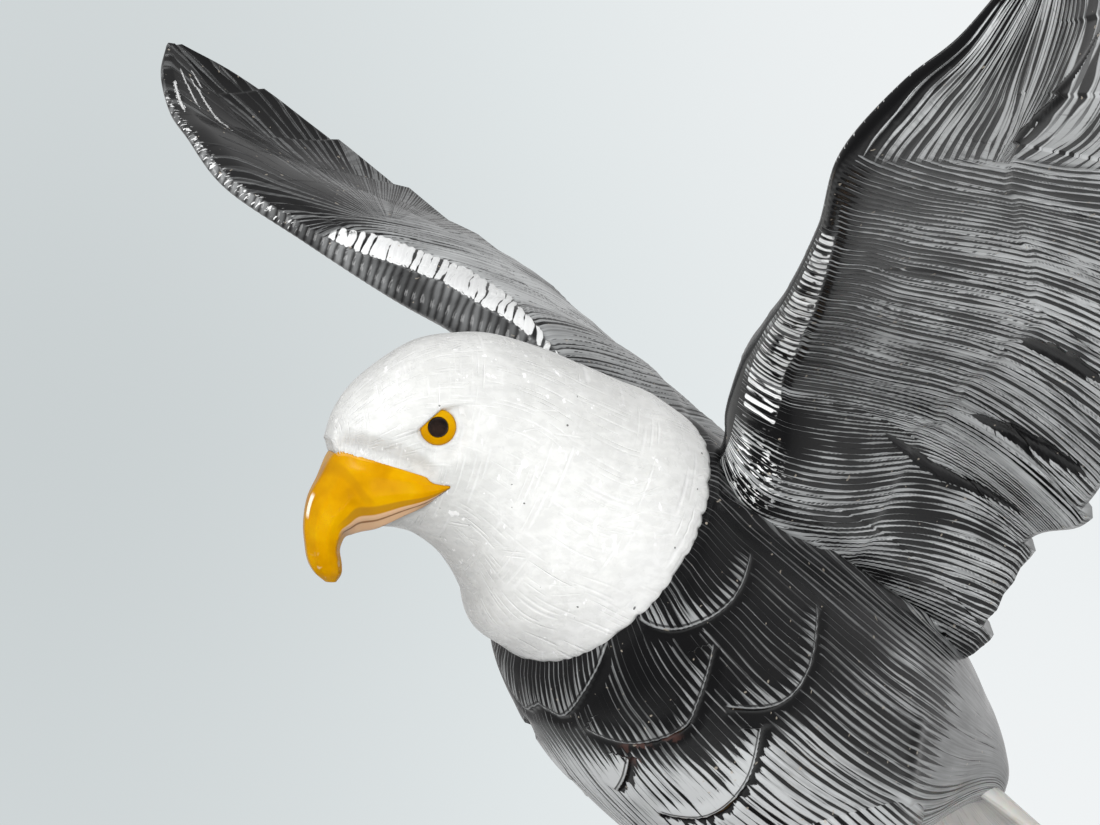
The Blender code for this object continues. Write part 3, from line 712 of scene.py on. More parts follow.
# Room left round what is let into the head: tight, loose, and round the beak
TIGHT_ROOM = 0.00002
LOOSE_ROOM = 0.00003
BEAK_ROOM = 0.00006
PAST_ALL = 0.004  # so far out that a hole is open at its end


def in_head(ahead, high):
    return NECK + (ahead * FACING + high * UP) * HEAD_LENGTH


def head_frame(share):
    knots = np.linspace(0, 1, len(CROWN) + 1)
    radius = NECK_RADIUS / HEAD_LENGTH
    collar_top = np.array([radius * OVER_BACK @ FACING, radius * OVER_BACK[2]])
    tops = np.vstack([[collar_top], CROWN])
    lows = np.vstack([[-collar_top], THROAT])
    top = smooth(knots, tops, share)
    low = smooth(knots, lows, share)
    wide = float(smooth(knots, [radius] + HEAD_WIDE, share)) * HEAD_LENGTH
    middle = in_head(*((top + low) / 2))
    rise = in_head(*top) - in_head(*low)
    start = min(1.0, share * 4)
    rise = 2 * NECK_RADIUS * OVER_BACK * (1 - start) + rise * start
    side = unit(LEFT * (1 - start) + HEAD_SIDE * start)
    return middle, rise / 2, wide, side


def above_brow(ahead, high):
    return high - np.interp(ahead, *zip(*BROW))


def brow_relief(ahead, high):
    """Raised brow with the hollow of the eye under it, in mm."""
    over = above_brow(ahead, high)
    along = np.clip((ahead - 0.46) / 0.16, 0, 1) * np.clip((1.0 - ahead) / 0.10, 0, 1)
    fore = eased((ahead - 0.72) / 0.10)
    ridge = (0.34 - 0.10 * fore) * bell(over, 0.030, 0.055) * eased((over + 0.010) / (0.024 + 0.04 * fore))
    return (ridge - 0.50 * bell(over, -0.080, 0.080)) * along


def eye_seat(points, ahead, high):
    """How far in the flank stands so that the eye lies open under the brow, in metres along the eye's axis."""
    over = above_brow(ahead, high)
    seat = np.zeros(len(points))
    for side in (1, -1):
        surface, outward = eye_plane(side)
        above = (points - surface) @ outward
        away = np.linalg.norm(points - surface - above[:, None] * outward, axis=1)
        wanted = (0.10 + 0.22 * bell(away / MM, 2.28, 0.22)) * MM
        open_part = (1 - eased((away / MM - 2.3) / 1.7)) * eased((0.006 - over) / 0.014) * (above > -3 * MM)
        seat = seat + side * (wanted - above) * open_part
    return seat


def eye_plane(side):
    surface = in_head(EYE_AT[0], EYE_AT[1]) + side * HEAD_SIDE * EYE_AT[2] * HEAD_LENGTH
    return surface, unit(EYE_LOOKS[0] * FACING + EYE_LOOKS[1] * UP + side * EYE_LOOKS[2] * HEAD_SIDE)


def beak_flank():
    """Places on the beak's left flank as ahead, high and half width, all in shares of the head's length."""
    places = []
    for ring in beak_rings(90)[:54]:
        for k in range(4):
            for t in np.arange(8) / 8:
                point = ring[k] * (1 - t) + ring[k + 1] * t - NECK
                places.append([point @ FACING, point[2], abs(point @ HEAD_SIDE)])
    return np.array(places) / HEAD_LENGTH


def beak_seat(flank, ahead, high, aside):
    """How far in the flank of the head stands where the beak breaks out of it, in metres."""
    away = np.hypot(ahead[:, None] - flank[:, 0], high[:, None] - flank[:, 1])
    nearest = np.argmin(away, axis=1)
    wide = flank[nearest, 2] * HEAD_LENGTH - 0.15 * MM
    share = (1 - eased((away.min(axis=1) - 0.006) / 0.085)) * eased((ahead - 0.655) / 0.06)
    return np.minimum(wide - aside, 0) * share


def head_rings(rows, columns):
    """Rings of the head, and the hand-cut lines at each of their points."""
    around = turns(columns)
    beak_places = beak_flank()
    lobes = 0.6 * np.abs(np.sin(around * 24 + 1.5 * drift(around * 5, 0.0, 3.0))) + 0.35 * drift(around * 9, 0.0, 9.0)
    shares = np.linspace(0, 1, rows) ** 0.9
    rings = []
    for share in shares:
        middle, half, wide, side = head_frame(share)
        ring = middle + oval(around, wide, side, 1.0, half)
        ahead = (ring - NECK) @ FACING / HEAD_LENGTH
        high = (ring - NECK)[:, 2] / HEAD_LENGTH
        flank = np.clip(np.abs(np.cos(around)) * 2 - 0.5, 0, 1)
        push = brow_relief(ahead, high) * flank * MM
        ring = ring + (np.sign(np.cos(around)) * push)[:, None] * side
        ring = ring + eye_seat(ring, ahead, high)[:, None] * HEAD_SIDE
        aside = (ring - NECK) @ HEAD_SIDE
        ring = ring + (np.sign(aside) * beak_seat(beak_places, ahead, high, np.abs(aside)))[:, None] * HEAD_SIDE
        out = unit(ring - middle)
        ring = ring + BACKWARD * ((0.15 + lobes)[:, None] * math.exp(-share / 0.016) * MM)
        uneven = 0.05 * drift(share * 14, around * 4, 8.0) - 0.35 * math.exp(-share / 0.006)
        rings.append(ring + out * (uneven * MM)[:, None])
    shares = shares[:, None]
    return rings, (around / (2 * math.pi) * 110 + 0.8 * drift(shares * 6, around * 3, 7.0), shares * 42)


BEAK_TOP = [(0.622, 0.214), (0.714, 0.245), (0.816, 0.279), (0.905, 0.306), (0.975, 0.315), (1.027, 0.224),
            (1.065, 0.150), (1.080, 0.061), (1.075, -0.020), (1.065, -0.075), (1.041, -0.119), (1.003, -0.152)]
BEAK_LOW = [(0.622, 0.194), (0.697, 0.133), (0.769, 0.092), (0.844, 0.048), (0.891, 0.031), (0.918, 0.020),
            (0.939, 0.010), (0.951, -0.014), (0.956, -0.041), (0.949, -0.085), (0.949, -0.122), (0.965, -0.152)]
BEAK_WIDE = [0.335, 0.312, 0.272, 0.218, 0.165, 0.140, 0.119, 0.102, 0.088, 0.074, 0.057, 0.030]
BEAK_INLAID = [(0.90, 1.0), (0.98, 0.50), (1.0, -0.10), (0.98, -0.62), (0.88, -1.0)]
BEAK_RIDGED = [(0.34, 1.0), (0.80, 0.50), (1.0, -0.10), (0.94, -0.62), (0.55, -1.0)]


def beak_rings(rows, swell=0.0, fine=1):
    knots = np.linspace(0, 1, len(BEAK_TOP))
    rings = []
    for share in np.linspace(0, 1, rows):
        top = in_head(*smooth(knots, BEAK_TOP, share))
        low = in_head(*smooth(knots, BEAK_LOW, share))
        wide = float(smooth(knots, BEAK_WIDE, share)) * HEAD_LENGTH + swell
        half = (top - low) / 2
        half = half * (1 + swell / np.linalg.norm(half))
        ridged = float(smooth([0, 0.22, 0.42, 1], [0, 0.1, 1, 1], share))
        section = np.array(BEAK_INLAID) * (1 - ridged) + np.array(BEAK_RIDGED) * ridged
        corners = np.vstack([section, section[::-1] * np.array([-1, 1])])
        if fine > 1:
            corners = rounded(corners, fine)
        rings.append([(top + low) / 2 + across * wide * HEAD_SIDE + high * half for across, high in corners])
    return np.array(rings)


def rounded(corners, fine):
    """The closed outline with more points and its corners eased."""
    count = len(corners)
    steps = np.arange(count * fine) / fine
    i = np.floor(steps).astype(int)
    t = (steps - i)[:, None]
    points = corners[i % count] * (1 - t) + corners[(i + 1) % count] * t
    return (np.roll(points, 1, axis=0) + 2 * points + np.roll(points, -1, axis=0)) / 4


def build_eye(side, yellow, black, head):
    word = "left" if side > 0 else "right"
    surface, outward = eye_plane(side)
    turned = np.array(Vector(outward).to_track_quat("Z", "Y").to_matrix())

    def disc(name, radius, bottom, top, dome, material, node=None):
        around = turns(48)
        profile = [(0.96, bottom), (1.0, bottom * 0.9), (1.0, top - 0.1 * MM), (0.975, top - 0.02 * MM)]
        profile += [(math.cos(a), top + dome * math.sin(a)) for a in np.radians([18, 30, 42, 54, 66, 78, 86])]
        rings = [surface + high * turned[:, 2] + oval(around, radius * grow, turned[:, 0], radius * grow, turned[:, 1])
                 for grow, high in profile]
        return carved(name, rings, material, node)

    eye_radius, pupil_radius = EYE_DIAMETER / 2, PUPIL_DIAMETER / 2
    hole = disc("eye_hole", eye_radius + TIGHT_ROOM, -EYE_DEPTH - LOOSE_ROOM, EYE_RIM + TIGHT_ROOM,
                EYE_DOME + LOOSE_ROOM, black)
    combine(head, hole, "DIFFERENCE")
    eye = disc("inlaid_eye_" + word, eye_radius, -EYE_DEPTH, EYE_RIM, EYE_DOME, yellow, "eye_" + word)
    hole = disc("pupil_hole", pupil_radius + LOOSE_ROOM, -PUPIL_DEPTH, PAST_ALL, PUPIL_DOME, black)
    combine(eye, hole, "DIFFERENCE")
    disc("inlaid_pupil_" + word, pupil_radius, -PUPIL_DEPTH, PUPIL_RIM, PUPIL_DOME, black, "pupil_" + word)


def build_head(quartz, yellow, beak, black):
    rings, lines = head_rings(200, 320)
    head = carved("carved_head", rings, quartz, "head", lines=lines)
    socket = [neck_ring(along, NECK_PEG_RADIUS + JOINT_GAP, 64) for along in (-NECK_PEG_LENGTH - JOINT_GAP, PAST_ALL)]
    combine(head, carved("socket", socket, quartz, None), "DIFFERENCE")
    combine(head, carved("slot", beak_rings(60, BEAK_ROOM, 4), quartz, None), "DIFFERENCE")
    place = (np.linspace(0, 1, 120)[:, None], np.arange(80) / 8)
    carved("carved_beak", beak_rings(120, 0.0, 8), beak, "beak", place=place)
    for side in (1, -1):
        build_eye(side, yellow, black, head)


# Tail, legs and base

FAN_START = 0.28  # share of the tail's length, counted from where its feathers would meet


def build_tail(material):
    slant = math.radians(TAIL_SLOPE)
    away = np.array([0.0, math.cos(slant), -math.sin(slant)])
    over = np.array([0.0, math.sin(slant), math.cos(slant)])
    root = NECK + 0.955 * BODY_LENGTH * BACKWARD + 0.050 * BODY_LENGTH * OVER_BACK
    spread = math.radians(TAIL_SPREAD)
    fan = np.linspace(-1, 1, 141)
    place = (fan + 1) / 2 * TAIL_FEATHERS
    rings = []
    shares = np.linspace(0, 1, 110)
    for share in shares:
        tip = 1 - 0.05 * (2 * (place - np.floor(place)) - 1) ** 2 - 0.06 * fan**2
        reach = (FAN_START + (1 - FAN_START) * share) * TAIL_LENGTH * (tip * share + (1 - share))
        angle = fan * spread
        sheet = root + (reach - FAN_START * TAIL_LENGTH)[:, None] * away
        sheet = sheet + (np.sin(angle) * (reach + 0.10 * TAIL_LENGTH))[:, None] * LEFT
        sheet = sheet - ((1 - np.cos(angle)) * reach)[:, None] * away
        sheet = sheet - (0.06 * TAIL_LENGTH * fan**2)[:, None] * over
        half = TAIL_THICKNESS / 2 * (1 - 0.55 * share)
        groove = 0.0055 * TAIL_LENGTH * np.cos(2 * math.pi * place) * share
        half = (half - groove) * np.sqrt(np.clip(1 - np.abs(fan) ** 14, 0.05, 1))
        rings.append(np.vstack([sheet + half[:, None] * over, (sheet - half[:, None] * over)[::-1]]))
    shares = shares[:, None]
    across = place * 6 + 0.3 * drift(shares * 8, fan * 6, 3.0)
    carved("carved_tail", rings, material, "tail", lines=(np.hstack([across, across[:, ::-1]]), shares * 36))


def rounded_ring(middle, along, across, radius, columns):
    around = np.linspace(0, 2 * math.pi, columns, endpoint=False)
    return middle + oval(around, radius, across, radius, unit(np.cross(along, across)))


def build_leg(side, word, material):
    foot = foot_place(side, BASE_HEIGHT + JOINT_GAP)
    height = LEG_HEIGHT - 2 * JOINT_GAP
    rings = []
    for share in np.linspace(0, 1, 60):
        radius = SHANK_RADIUS * float(smooth([0, 0.25, 0.7, 1.0], [1.30, 0.95, 0.88, 1.0], share))
        radius += 0.05 * MM * math.cos(share * 2 * math.pi * 11)
        rings.append(rounded_ring(foot + UP * share * height, UP, LEFT, radius, 48))
    leg = carved("carved_leg_" + word, rings, material, "leg_" + word)
    for angle, long in ((-32, 1.0), (0, 1.0), (32, 1.0), (180, 0.72)):
        angle = math.radians(angle)
        heading = np.array([math.sin(angle), -math.cos(angle), 0.0])
        across = unit(np.cross(heading, UP))
        rings = []
        for share in np.linspace(0, 1, 48):
            radius = float(smooth([0, 0.3, 0.6, 0.78, 1.0], [0.68, 0.62, 0.60, 0.36, 0.08], share)) * SHANK_RADIUS
            lift = float(smooth([0, 0.3, 0.6, 0.8, 1.0], [1.02, 0.72, 0.72, 0.85, 0.22], share)) * SHANK_RADIUS
            radius *= 1 + 0.05 * math.cos(share * 2 * math.pi * 10) * (share < 0.66)
            middle = foot + heading * TOE_LENGTH * long * share + UP * lift
            rings.append(rounded_ring(middle, heading, across, radius, 24))
        combine(leg, carved("toe", rings, material, None), "UNION")


def build_base(material):
    columns = 160
    around = np.linspace(0, 2 * math.pi, columns, endpoint=False)
    rings = []
    shares = [0.0, 0.02, 0.08, 0.45, 0.80, 0.93, 1.0]
    insets = [0.03, 0.012, 0.0, 0.01, 0.05, 0.09, 0.15]
    for share in np.linspace(0, 1, 60) ** 0.9:
        inset = float(smooth(shares, insets, share))
        uneven = 1 + 0.018 * np.sin(3 * around + 0.7) + 0.012 * np.sin(5 * around + 2.1)
        uneven = uneven + 0.006 * drift(around * 9, share * 6, 12.0) * eased(share / 0.1)
        grow = (1 - inset) * uneven
        rings.append(np.stack([np.cos(around) * BASE_LENGTH / 2 * grow, np.sin(around) * BASE_WIDTH / 2 * grow,
                               np.full(columns, share * BASE_HEIGHT)], axis=1))
    for share in (0.8, 0.6, 0.4, 0.2):
        rings.append(rings[59] * np.array([share, share, 1.0]))
    carved("carved_base", rings, material, "base")


# Finishes


class Reading:
    """A value that a node gives. Reckoning with it adds nodes."""

    def __init__(self, graph, socket):
        self.graph = graph
        self.socket = socket

    def __add__(self, other):
        return self.graph.math("ADD", self, other)

    def __sub__(self, other):
        return self.graph.math("SUBTRACT", self, other)

    def __rsub__(self, other):
        return self.graph.math("SUBTRACT", other, self)

    def __mul__(self, other):
        return self.graph.math("MULTIPLY", self, other)

    def __truediv__(self, other):
        return self.graph.math("DIVIDE", self, other)

    def __abs__(self):
        return self.graph.math("ABSOLUTE", self)

    __radd__ = __add__
    __rmul__ = __mul__


class Graph:
    """Short ways to add nodes; an input may be a number, a triple or another node's reading."""

    def __init__(self, tree):
        self.nodes = tree.nodes
        self.links = tree.links

    def put(self, socket, value):
        if isinstance(value, Reading):
            self.links.new(value.socket, socket)
        elif isinstance(value, tuple) and len(socket.default_value) == 4:
            socket.default_value = (*value, 1)
        else:
            socket.default_value = value

    def made(self, kind, output, inputs=(), **settings):
        """The named output of a new node, given its settings and its inputs by name or number."""
        node = self.nodes.new("ShaderNode" + kind)
        for word, value in settings.items():
            setattr(node, word, value)
        for word, value in dict(inputs).items():
            self.put(node.inputs[word], value)
        return Reading(self, node.outputs[output])

    def math(self, how, *values):
        return self.made("Math", 0, enumerate(values), operation=how)

    def whole(self, value):
        """The whole part of a value, and what is over."""
        part = self.math("FLOOR", value)
        return part, value - part

    def most(self, a, b):
        return self.math("MAXIMUM", a, b)

    def ease(self, value, low, high, first=0.0, last=1.0):
        """From first to last, smoothly, while the value runs from low to high."""
        return self.made("MapRange", "Result", {"Value": value, "From Min": low, "From Max": high,
                                                "To Min": first, "To Max": last}, interpolation_type="SMOOTHSTEP")

    def point(self, x, y, z):
        return self.made("CombineXYZ", 0, enumerate((x, y, z)))

    def split(self, vector):
        parts = self.made("SeparateXYZ", 0, {0: vector}).socket.node.outputs
        return [Reading(self, part) for part in parts]

    def random(self, x, y, z):
        """Four random numbers for whole ones."""
        colour = self.made("TexWhiteNoise", "Color", {"Vector": self.point(x, y, z)}, noise_dimensions="3D")
        return self.split(colour) + [Reading(self, colour.socket.node.outputs["Value"])]

    def map(self, word):
        return self.split(self.made("UVMap", "UV", uv_map=word))[:2]

    def noise(self, scale, detail=3.0, stretch=(1, 1, 1)):
        place = self.made("Mapping", "Vector", {"Vector": self.made("TexCoord", "Object"), "Scale": stretch})
        return self.made("TexNoise", "Fac", {"Vector": place, "Scale": scale, "Detail": detail})

    def noise_at(self, x, y, z=0.0, detail=2.0):
        return self.made("TexNoise", "Fac", {"Vector": self.point(x, y, z), "Scale": 1.0, "Detail": detail})

    def ramp(self, value, *stops):
        reading = self.made("ValToRGB", "Color", {"Fac": value})
        elements = reading.socket.node.color_ramp.elements
        while len(elements) < len(stops):
            elements.new(0.5)
        for element, (at, colour) in zip(elements, stops):
            element.position = at
            element.color = (*colour, 1) if isinstance(colour, tuple) else (colour, colour, colour, 1)
        return reading

    def mix(self, share, a, b, how="MIX"):
        return self.made("Mix", 2, {0: share, 6: a, 7: b}, data_type="RGBA", blend_type=how)

    def use(self, group, **values):
        outputs = self.made("Group", 0, values, node_tree=group).socket.node.outputs
        return {output.name: Reading(self, output) for output in outputs}


class Finish(Graph):
    """A material on the standard shader."""

    def __init__(self, name, colour, roughness, **values):
        self.material = bpy.data.materials.new(name)
        self.material.use_nodes = True
        super().__init__(self.material.node_tree)
        self.shader = self.nodes["Principled BSDF"].inputs
        self.put(self.shader["Base Color"], colour)
        self.put(self.shader["Roughness"], roughness)
        for word, value in values.items():
            self.put(self.shader[word.replace("_", " ")], value)

    def colour(self, value):
        self.put(self.shader["Base Color"], value)

    def rough(self, value):
        self.put(self.shader["Roughness"], value)

    def bump(self, *layers):
        """Fine relief, each layer as its height and how many mm the full height stands for."""
        below = {}
        for height, deep in layers:
            below["Normal"] = self.made("Bump", "Normal", {"Strength": 1.0, "Distance": deep * MM, "Height": height,
                                                           **below})
        self.put(self.shader["Normal"], below["Normal"])


def new_group(name, results, **inputs):
    """A node group: itself, its graph, the readings of its inputs, and the sockets of its results."""
    group = bpy.data.node_groups.new(name, "ShaderNodeTree")
    for word, value in inputs.items():
        group.interface.new_socket(word, in_out="INPUT", socket_type="NodeSocketFloat").default_value = value
    for word in results:
        group.interface.new_socket(word, in_out="OUTPUT", socket_type="NodeSocketFloat")
    graph = Graph(group)
    given = graph.nodes.new("NodeGroupInput").outputs
    return group, graph, [Reading(graph, given[word]) for word in inputs], graph.nodes.new("NodeGroupOutput").inputs


def engraved_strokes():
    """Needle-shaped cuts one unit apart."""
    group, g, given, out = new_group("engraved_strokes", ["Cut"], Across=0.0, Along=0.0, Length=9.0, Half=0.3,
                                     Skip=0.05, Seed=0.0)
    across, along, length, half, skip, seed = given
    line = g.math("FLOOR", across)
    place = along / length + g.random(line, seed, 3.7)[0] * 7.0
    piece, share = g.whole(place)
    dice = g.random(line, piece, seed)
    ends = g.ease(share, 0.0, 0.22) * g.ease(share, 1.0, 0.62)
    wide = half * (0.50 + dice[1] * 0.80) * (0.30 + ends * 0.70)
    away = abs(across - (line + 0.38 + dice[0] * 0.24)) / wide
    kept = ends * g.math("GREATER_THAN", dice[3], skip)
    g.put(out["Cut"], g.ease(away, 1.1, 0.1) * (0.55 + dice[2] * 0.45) * kept)
    return group


def grooved_flats():
    """Grooves one unit apart. The flats left between them take a given share of the room: at a low one only
    light needles stand in the black, at a high one only dark needles lie in the pale."""
    group, g, given, out = new_group("grooved_flats", ["Flat", "Crest"], Across=0.0, Along=0.0, Share=0.5,
                                     Length=9.0, Uneven=1.0, Seed=0.0)
    across, along, share, length, uneven, seed = given
    line, inside = g.whole(across)
    dice = g.random(line, seed, 3.7)
    middle = 0.38 + dice[0] * 0.24
    ridge = g.most((middle - inside) / middle, (inside - middle) / (1.0 - middle))
    wave = g.noise_at(line * 7.31 + seed, along / length, seed, 2.0)
    stray = (dice[1] - 0.5) * 0.52 + (wave - 0.5) * 1.30
    level = 1.0 - share - stray * uneven
    # A thin painted highlight along the flat's edge beside each groove
    crest = g.ease(abs(ridge - (level + 0.20)), 0.20, 0.02) * g.math("GREATER_THAN", inside, middle)
    g.put(out["Flat"], g.ease(ridge, level - 0.10, level + 0.10))
    g.put(out["Crest"], crest * g.ease(level, 0.02, 0.12))
    return group


def barbed_slashes():
    """Short slanting slashes above a long stroke."""
    group, g, given, out = new_group("barbed_slashes", ["Cut"], Across=0.0, Along=0.0, Lean=-0.8, Pitch=0.52,
                                     Skip=0.25)
    across, along, lean, pitch, skip = given
    line, inside = g.whole(across)
    piece, share = g.whole((along + inside * lean) / pitch)
    dice = g.random(line, piece, 5.5)
    top = 0.84 + dice[2] * 0.14
    window = g.ease(inside, 0.60, 0.70) * g.ease(inside, top + 0.04, top - 0.10)
    patch = g.ease(g.noise_at(line * 0.31, along * 0.16), 0.36, 0.50)
    cut = g.ease(abs(share - (0.4 + dice[0] * 0.2)), 0.42, 0.20)
    g.put(out["Cut"], cut * window * (g.math("GREATER_THAN", dice[1], skip) * patch))
    return group


STONE_BLACK = (0.0065, 0.0065, 0.0070)
# Painted sheen: the silver of the flats, standing in for reflected light
PAINTED_SHEEN_SILVER = (0.585, 0.600, 0.605)
# Painted highlight: the white of the bright bars, glints and streaks
PAINTED_HIGHLIGHT_WHITE = (0.92, 0.93, 0.93)


def obsidian(name):
    return Finish(name, STONE_BLACK, 0.18, IOR=1.55, Specular_IOR_Level=0.5)


def painted_sheen_flats(stone, flat, pale, across, along):
    """Painted sheen: silvery flats in place of reflected light, uneven along the strokes, on the black of the cuts."""
    needles = stone.noise_at(across * 2.2, along * 0.13, 3.0, 3.0)
    patches = stone.noise(150, 3.0)
    pale = pale * (1.0 + ((needles - 0.5) * 1.9 + (patches - 0.5) * 0.9))
    return stone.mix(flat * stone.most(stone.math("MINIMUM", pale, 1.0), 0.0), STONE_BLACK, PAINTED_SHEEN_SILVER)


def polished(stone, colour, relief, smoothest, roughest):
    """The obsidian's last touches: brown specks, an uneven polish and fine relief."""
    speck = stone.ease(stone.noise(1700, 0.0), 0.820, 0.84)
    stone.colour(stone.mix(speck * 0.55, colour, (0.50, 0.44, 0.36)))
    stone.rough(stone.ramp(stone.noise(240, 3.0), (0.3, smoothest), (0.7, roughest)))
    stone.bump((relief, 0.14), (stone.noise(1500, 3.0), 0.012))
    return stone.material


def body_finish(flats):
    stone = obsidian("obsidian_body")
    across, along = stone.map("lines")
    gap, strength = stone.map("rims")
    share, pale = stone.map("tone")
    before = stone.ease(gap, -3.0, -0.1) * stone.ease(gap, 0.06, -0.02) * strength
    ragged = stone.noise_at(across * 1.2, along * 0.22, 1.0, 3.0)
    edge = 0.40 + (ragged - 0.30) * 3.6
    # Painted shade: the trough behind each rim is kept black
    trough = stone.ease(gap, 0.06, 0.12) * stone.ease(gap - edge, 0.10, -0.10) * stone.ease(strength, 0.20, 0.45)
    # Painted highlight: a thin pale line along each rim
    rim = stone.ease(abs(gap), 0.15, 0.07) * stone.ease(strength, 0.1, 0.4)
    line = stone.ease(abs(gap + 0.24), 0.12, 0.04) * stone.ease(strength, 0.3, 0.6)
    # Painted sheen: the flats widen and grow paler on the rise before each rim
    share = share + before * 0.42
    pale = pale + before * 0.18
    broad = stone.use(flats, Across=across, Along=along, Share=share, Length=10.0)
    thin = stone.use(flats, Across=across * 1.9, Along=along, Share=share + 0.36, Length=4.0, Seed=4.0)["Flat"]
    clear = 1.0 - stone.most(trough, line * 0.8)
    # The crest's painted highlight is added to the flats
    flat = broad["Flat"] * (0.25 + thin * 0.75) * clear + broad["Crest"] * clear * 0.35
    flat = stone.most(flat, rim)
    # Painted sheen on the flats
    colour = painted_sheen_flats(stone, flat, pale, across, along)
    # A brown patch in one trough, broken up by noise
    brown_patch = trough * stone.ease(abs(along - 10.8), 3.0, 1.2) * stone.ease(abs(across - 120.9), 4.8, 2.4)
    brown_patch = brown_patch * stone.ease(stone.noise(500, 3.0), 0.40, 0.55)
    return polished(stone, stone.mix(brown_patch, colour, (0.085, 0.040, 0.033)), flat, 0.14, 0.26)


def wing_finish(flats, slashes):
    stone = obsidian("obsidian_wing")
    across, along = stone.map("lines")
    bearing, reach = stone.map("fan")
    share, pale = stone.map("tone")
    rib, band = stone.map("ribs")
    past_row, front = stone.map("rows")
    sparkle, hand = stone.map("glints")
    inner = 1.0 - hand
    patch = stone.noise_at(across * 0.10, along * 0.17, 6.0) - 0.5
    share = share - inner * 0.09 + patch * 1.1

    # Rows of the inner wing, with slanting slashes above each stroke
    second = stone.ease(past_row, -0.1, 0.3)
    barbs = stone.use(slashes, Across=across, Along=along)["Cut"]
    combed = stone.use(slashes, Across=across * 0.8, Along=along, Lean=0.7, Pitch=0.40)["Cut"]
    barbs = barbs * (1.0 - second) + combed * (second * 0.5)
    broad = stone.use(flats, Across=across, Along=along, Share=share, Length=6.0)
    thin = stone.use(flats, Across=across * 2.4, Along=along, Share=share + 0.30, Length=8.0, Seed=4.0)["Flat"]
    # With the painted highlight of each crest
    rows = broad["Flat"] * (0.70 + thin * 0.30) * (1.0 - barbs * 0.9) + broad["Crest"] * 0.50

    # Strokes that fan out over the hand, closer together further out
    near = stone.use(flats, Across=bearing, Along=reach, Share=share, Length=9.0, Seed=7.0)
    far = stone.use(flats, Across=bearing * 2.0 + 0.5, Along=reach, Share=share + 0.22, Length=12.0, Seed=9.0)["Flat"]
    outer = stone.ease(reach, 10.0, 20.0)
    # With the painted highlight of each crest
    fan = near["Flat"] * (1.0 - outer * ((1.0 - far) * 0.8)) + near["Crest"] * 0.45
    flat = (rows * inner + fan * hand) * ((1.0 - band) * (1.0 - front))
    # Painted sheen on the flats
    colour = painted_sheen_flats(stone, flat, pale, across, along)

    # The ribbed front edge: painted sheen on its narrow face, then painted highlights in its bright bars and the small
    # glints
    groove = stone.ease(abs(stone.math("FRACT", rib) - 0.5), 0.10, 0.50)
    cloudy = stone.ease(stone.noise(110, 2.0), 0.35, 0.65, 0.10, 0.40)
    colour = stone.mix(front * (1.0 - groove * 0.85) * cloudy, colour, PAINTED_SHEEN_SILVER)
    # Painted highlights: bright bars on the ribbed face
    bars = stone.use(flats, Across=rib, Along=along, Share=band * 0.95 - 0.03, Length=2.2, Seed=3.0)["Flat"]
    broken = stone.ease(stone.noise_at(rib * 1.1, along * 1.1, 12.0, 2.0), 0.36, 0.46)
    glint = bars * stone.most(broken, stone.ease(band, 0.70, 0.90)) * stone.ease(band, 0.30, 0.45)
    # Painted highlights: tiny glints near the root and along the front edge, and the long streaks
    tiny = stone.noise_at(across * 2.6, along * 1.5, 9.0, 2.0)
    tiny = stone.ease(tiny + (sparkle - 0.48) * 0.20, 0.55, 0.58)
    tiny = tiny * (stone.ease(sparkle, 0.2, 0.4) * stone.ease(sparkle, 0.60, 0.50))
    glint = stone.most(stone.most(glint, tiny), stone.ease(sparkle, 0.58, 0.88) * 0.72)
    relief = flat - groove * stone.most(band, front) * 0.9
    return polished(stone, stone.mix(glint, colour, PAINTED_HIGHLIGHT_WHITE), relief, 0.13, 0.25)


def quartz_finish(strokes):
    stone = Finish("frosted_quartz", (0.80, 0.81, 0.79), 0.40, IOR=1.54, Subsurface_Weight=0.3,
                   Subsurface_Scale=0.0020)
    stone.shader["Subsurface Radius"].default_value = (1.0, 1.0, 0.95)
    across, along = stone.map("lines")
    long = stone.use(strokes, Across=across * 1.5, Along=along, Length=5.0, Half=0.32, Skip=0.45)["Cut"]
    cross = stone.use(strokes, Across=across * 1.3 + along * 1.3, Along=along - across, Length=6.0, Half=0.26,
                      Skip=0.55, Seed=2.0)["Cut"]
    rings = stone.use(strokes, Across=along * 1.7, Along=across, Length=9.0, Half=0.30, Skip=0.50, Seed=6.0)["Cut"]
    here = stone.ease(stone.noise_at(across * 0.07, along * 0.11, 4.0), 0.40, 0.56)
    there = stone.ease(stone.noise_at(across * 0.09, along * 0.13, 8.0), 0.50, 0.60)
    cut = stone.most(stone.most(long * here, cross * there), rings * (1.0 - here))
    cloud = stone.ramp(stone.noise(95, 5.0), (0.31, (0.673, 0.679, 0.660)), (0.67, (0.757, 0.762, 0.748)))
    cloud = stone.mix(stone.ease(along, 16.0, 2.0) * 0.55, cloud, (0.93, 0.935, 0.92))
    frost = stone.noise(800, 4.0, (1.0, 1.0, 1.6))
    tone = stone.mix(1.0, cloud, stone.ramp(frost, (0.42, 0.92), (0.60, 1.0)), "MULTIPLY")
    patch = stone.ease(stone.noise(120, 2.0), 0.42, 0.58)
    # Painted highlights: small white glints in patches
    shine = stone.ease(stone.noise(1050, 2.0, (1.0, 1.0, 0.55)), 0.660, 0.700)
    pits = stone.ease(stone.noise(1500, 0.0), 0.862, 0.872)
    for mark, grey in ((cut * 0.38, 0.95), (shine * patch, 1.0), (pits, 0.15)):
        tone = stone.mix(mark, tone, (grey, grey, grey))
    stone.colour(tone)
    stone.rough(stone.ramp(stone.noise(600, 3.0), (0.38, 0.18), (0.62, 0.46)))
    stone.bump((cut * -1.0, 0.055), (frost * patch, 0.08), (stone.noise(1900, 3.0), 0.02))
    return stone.material


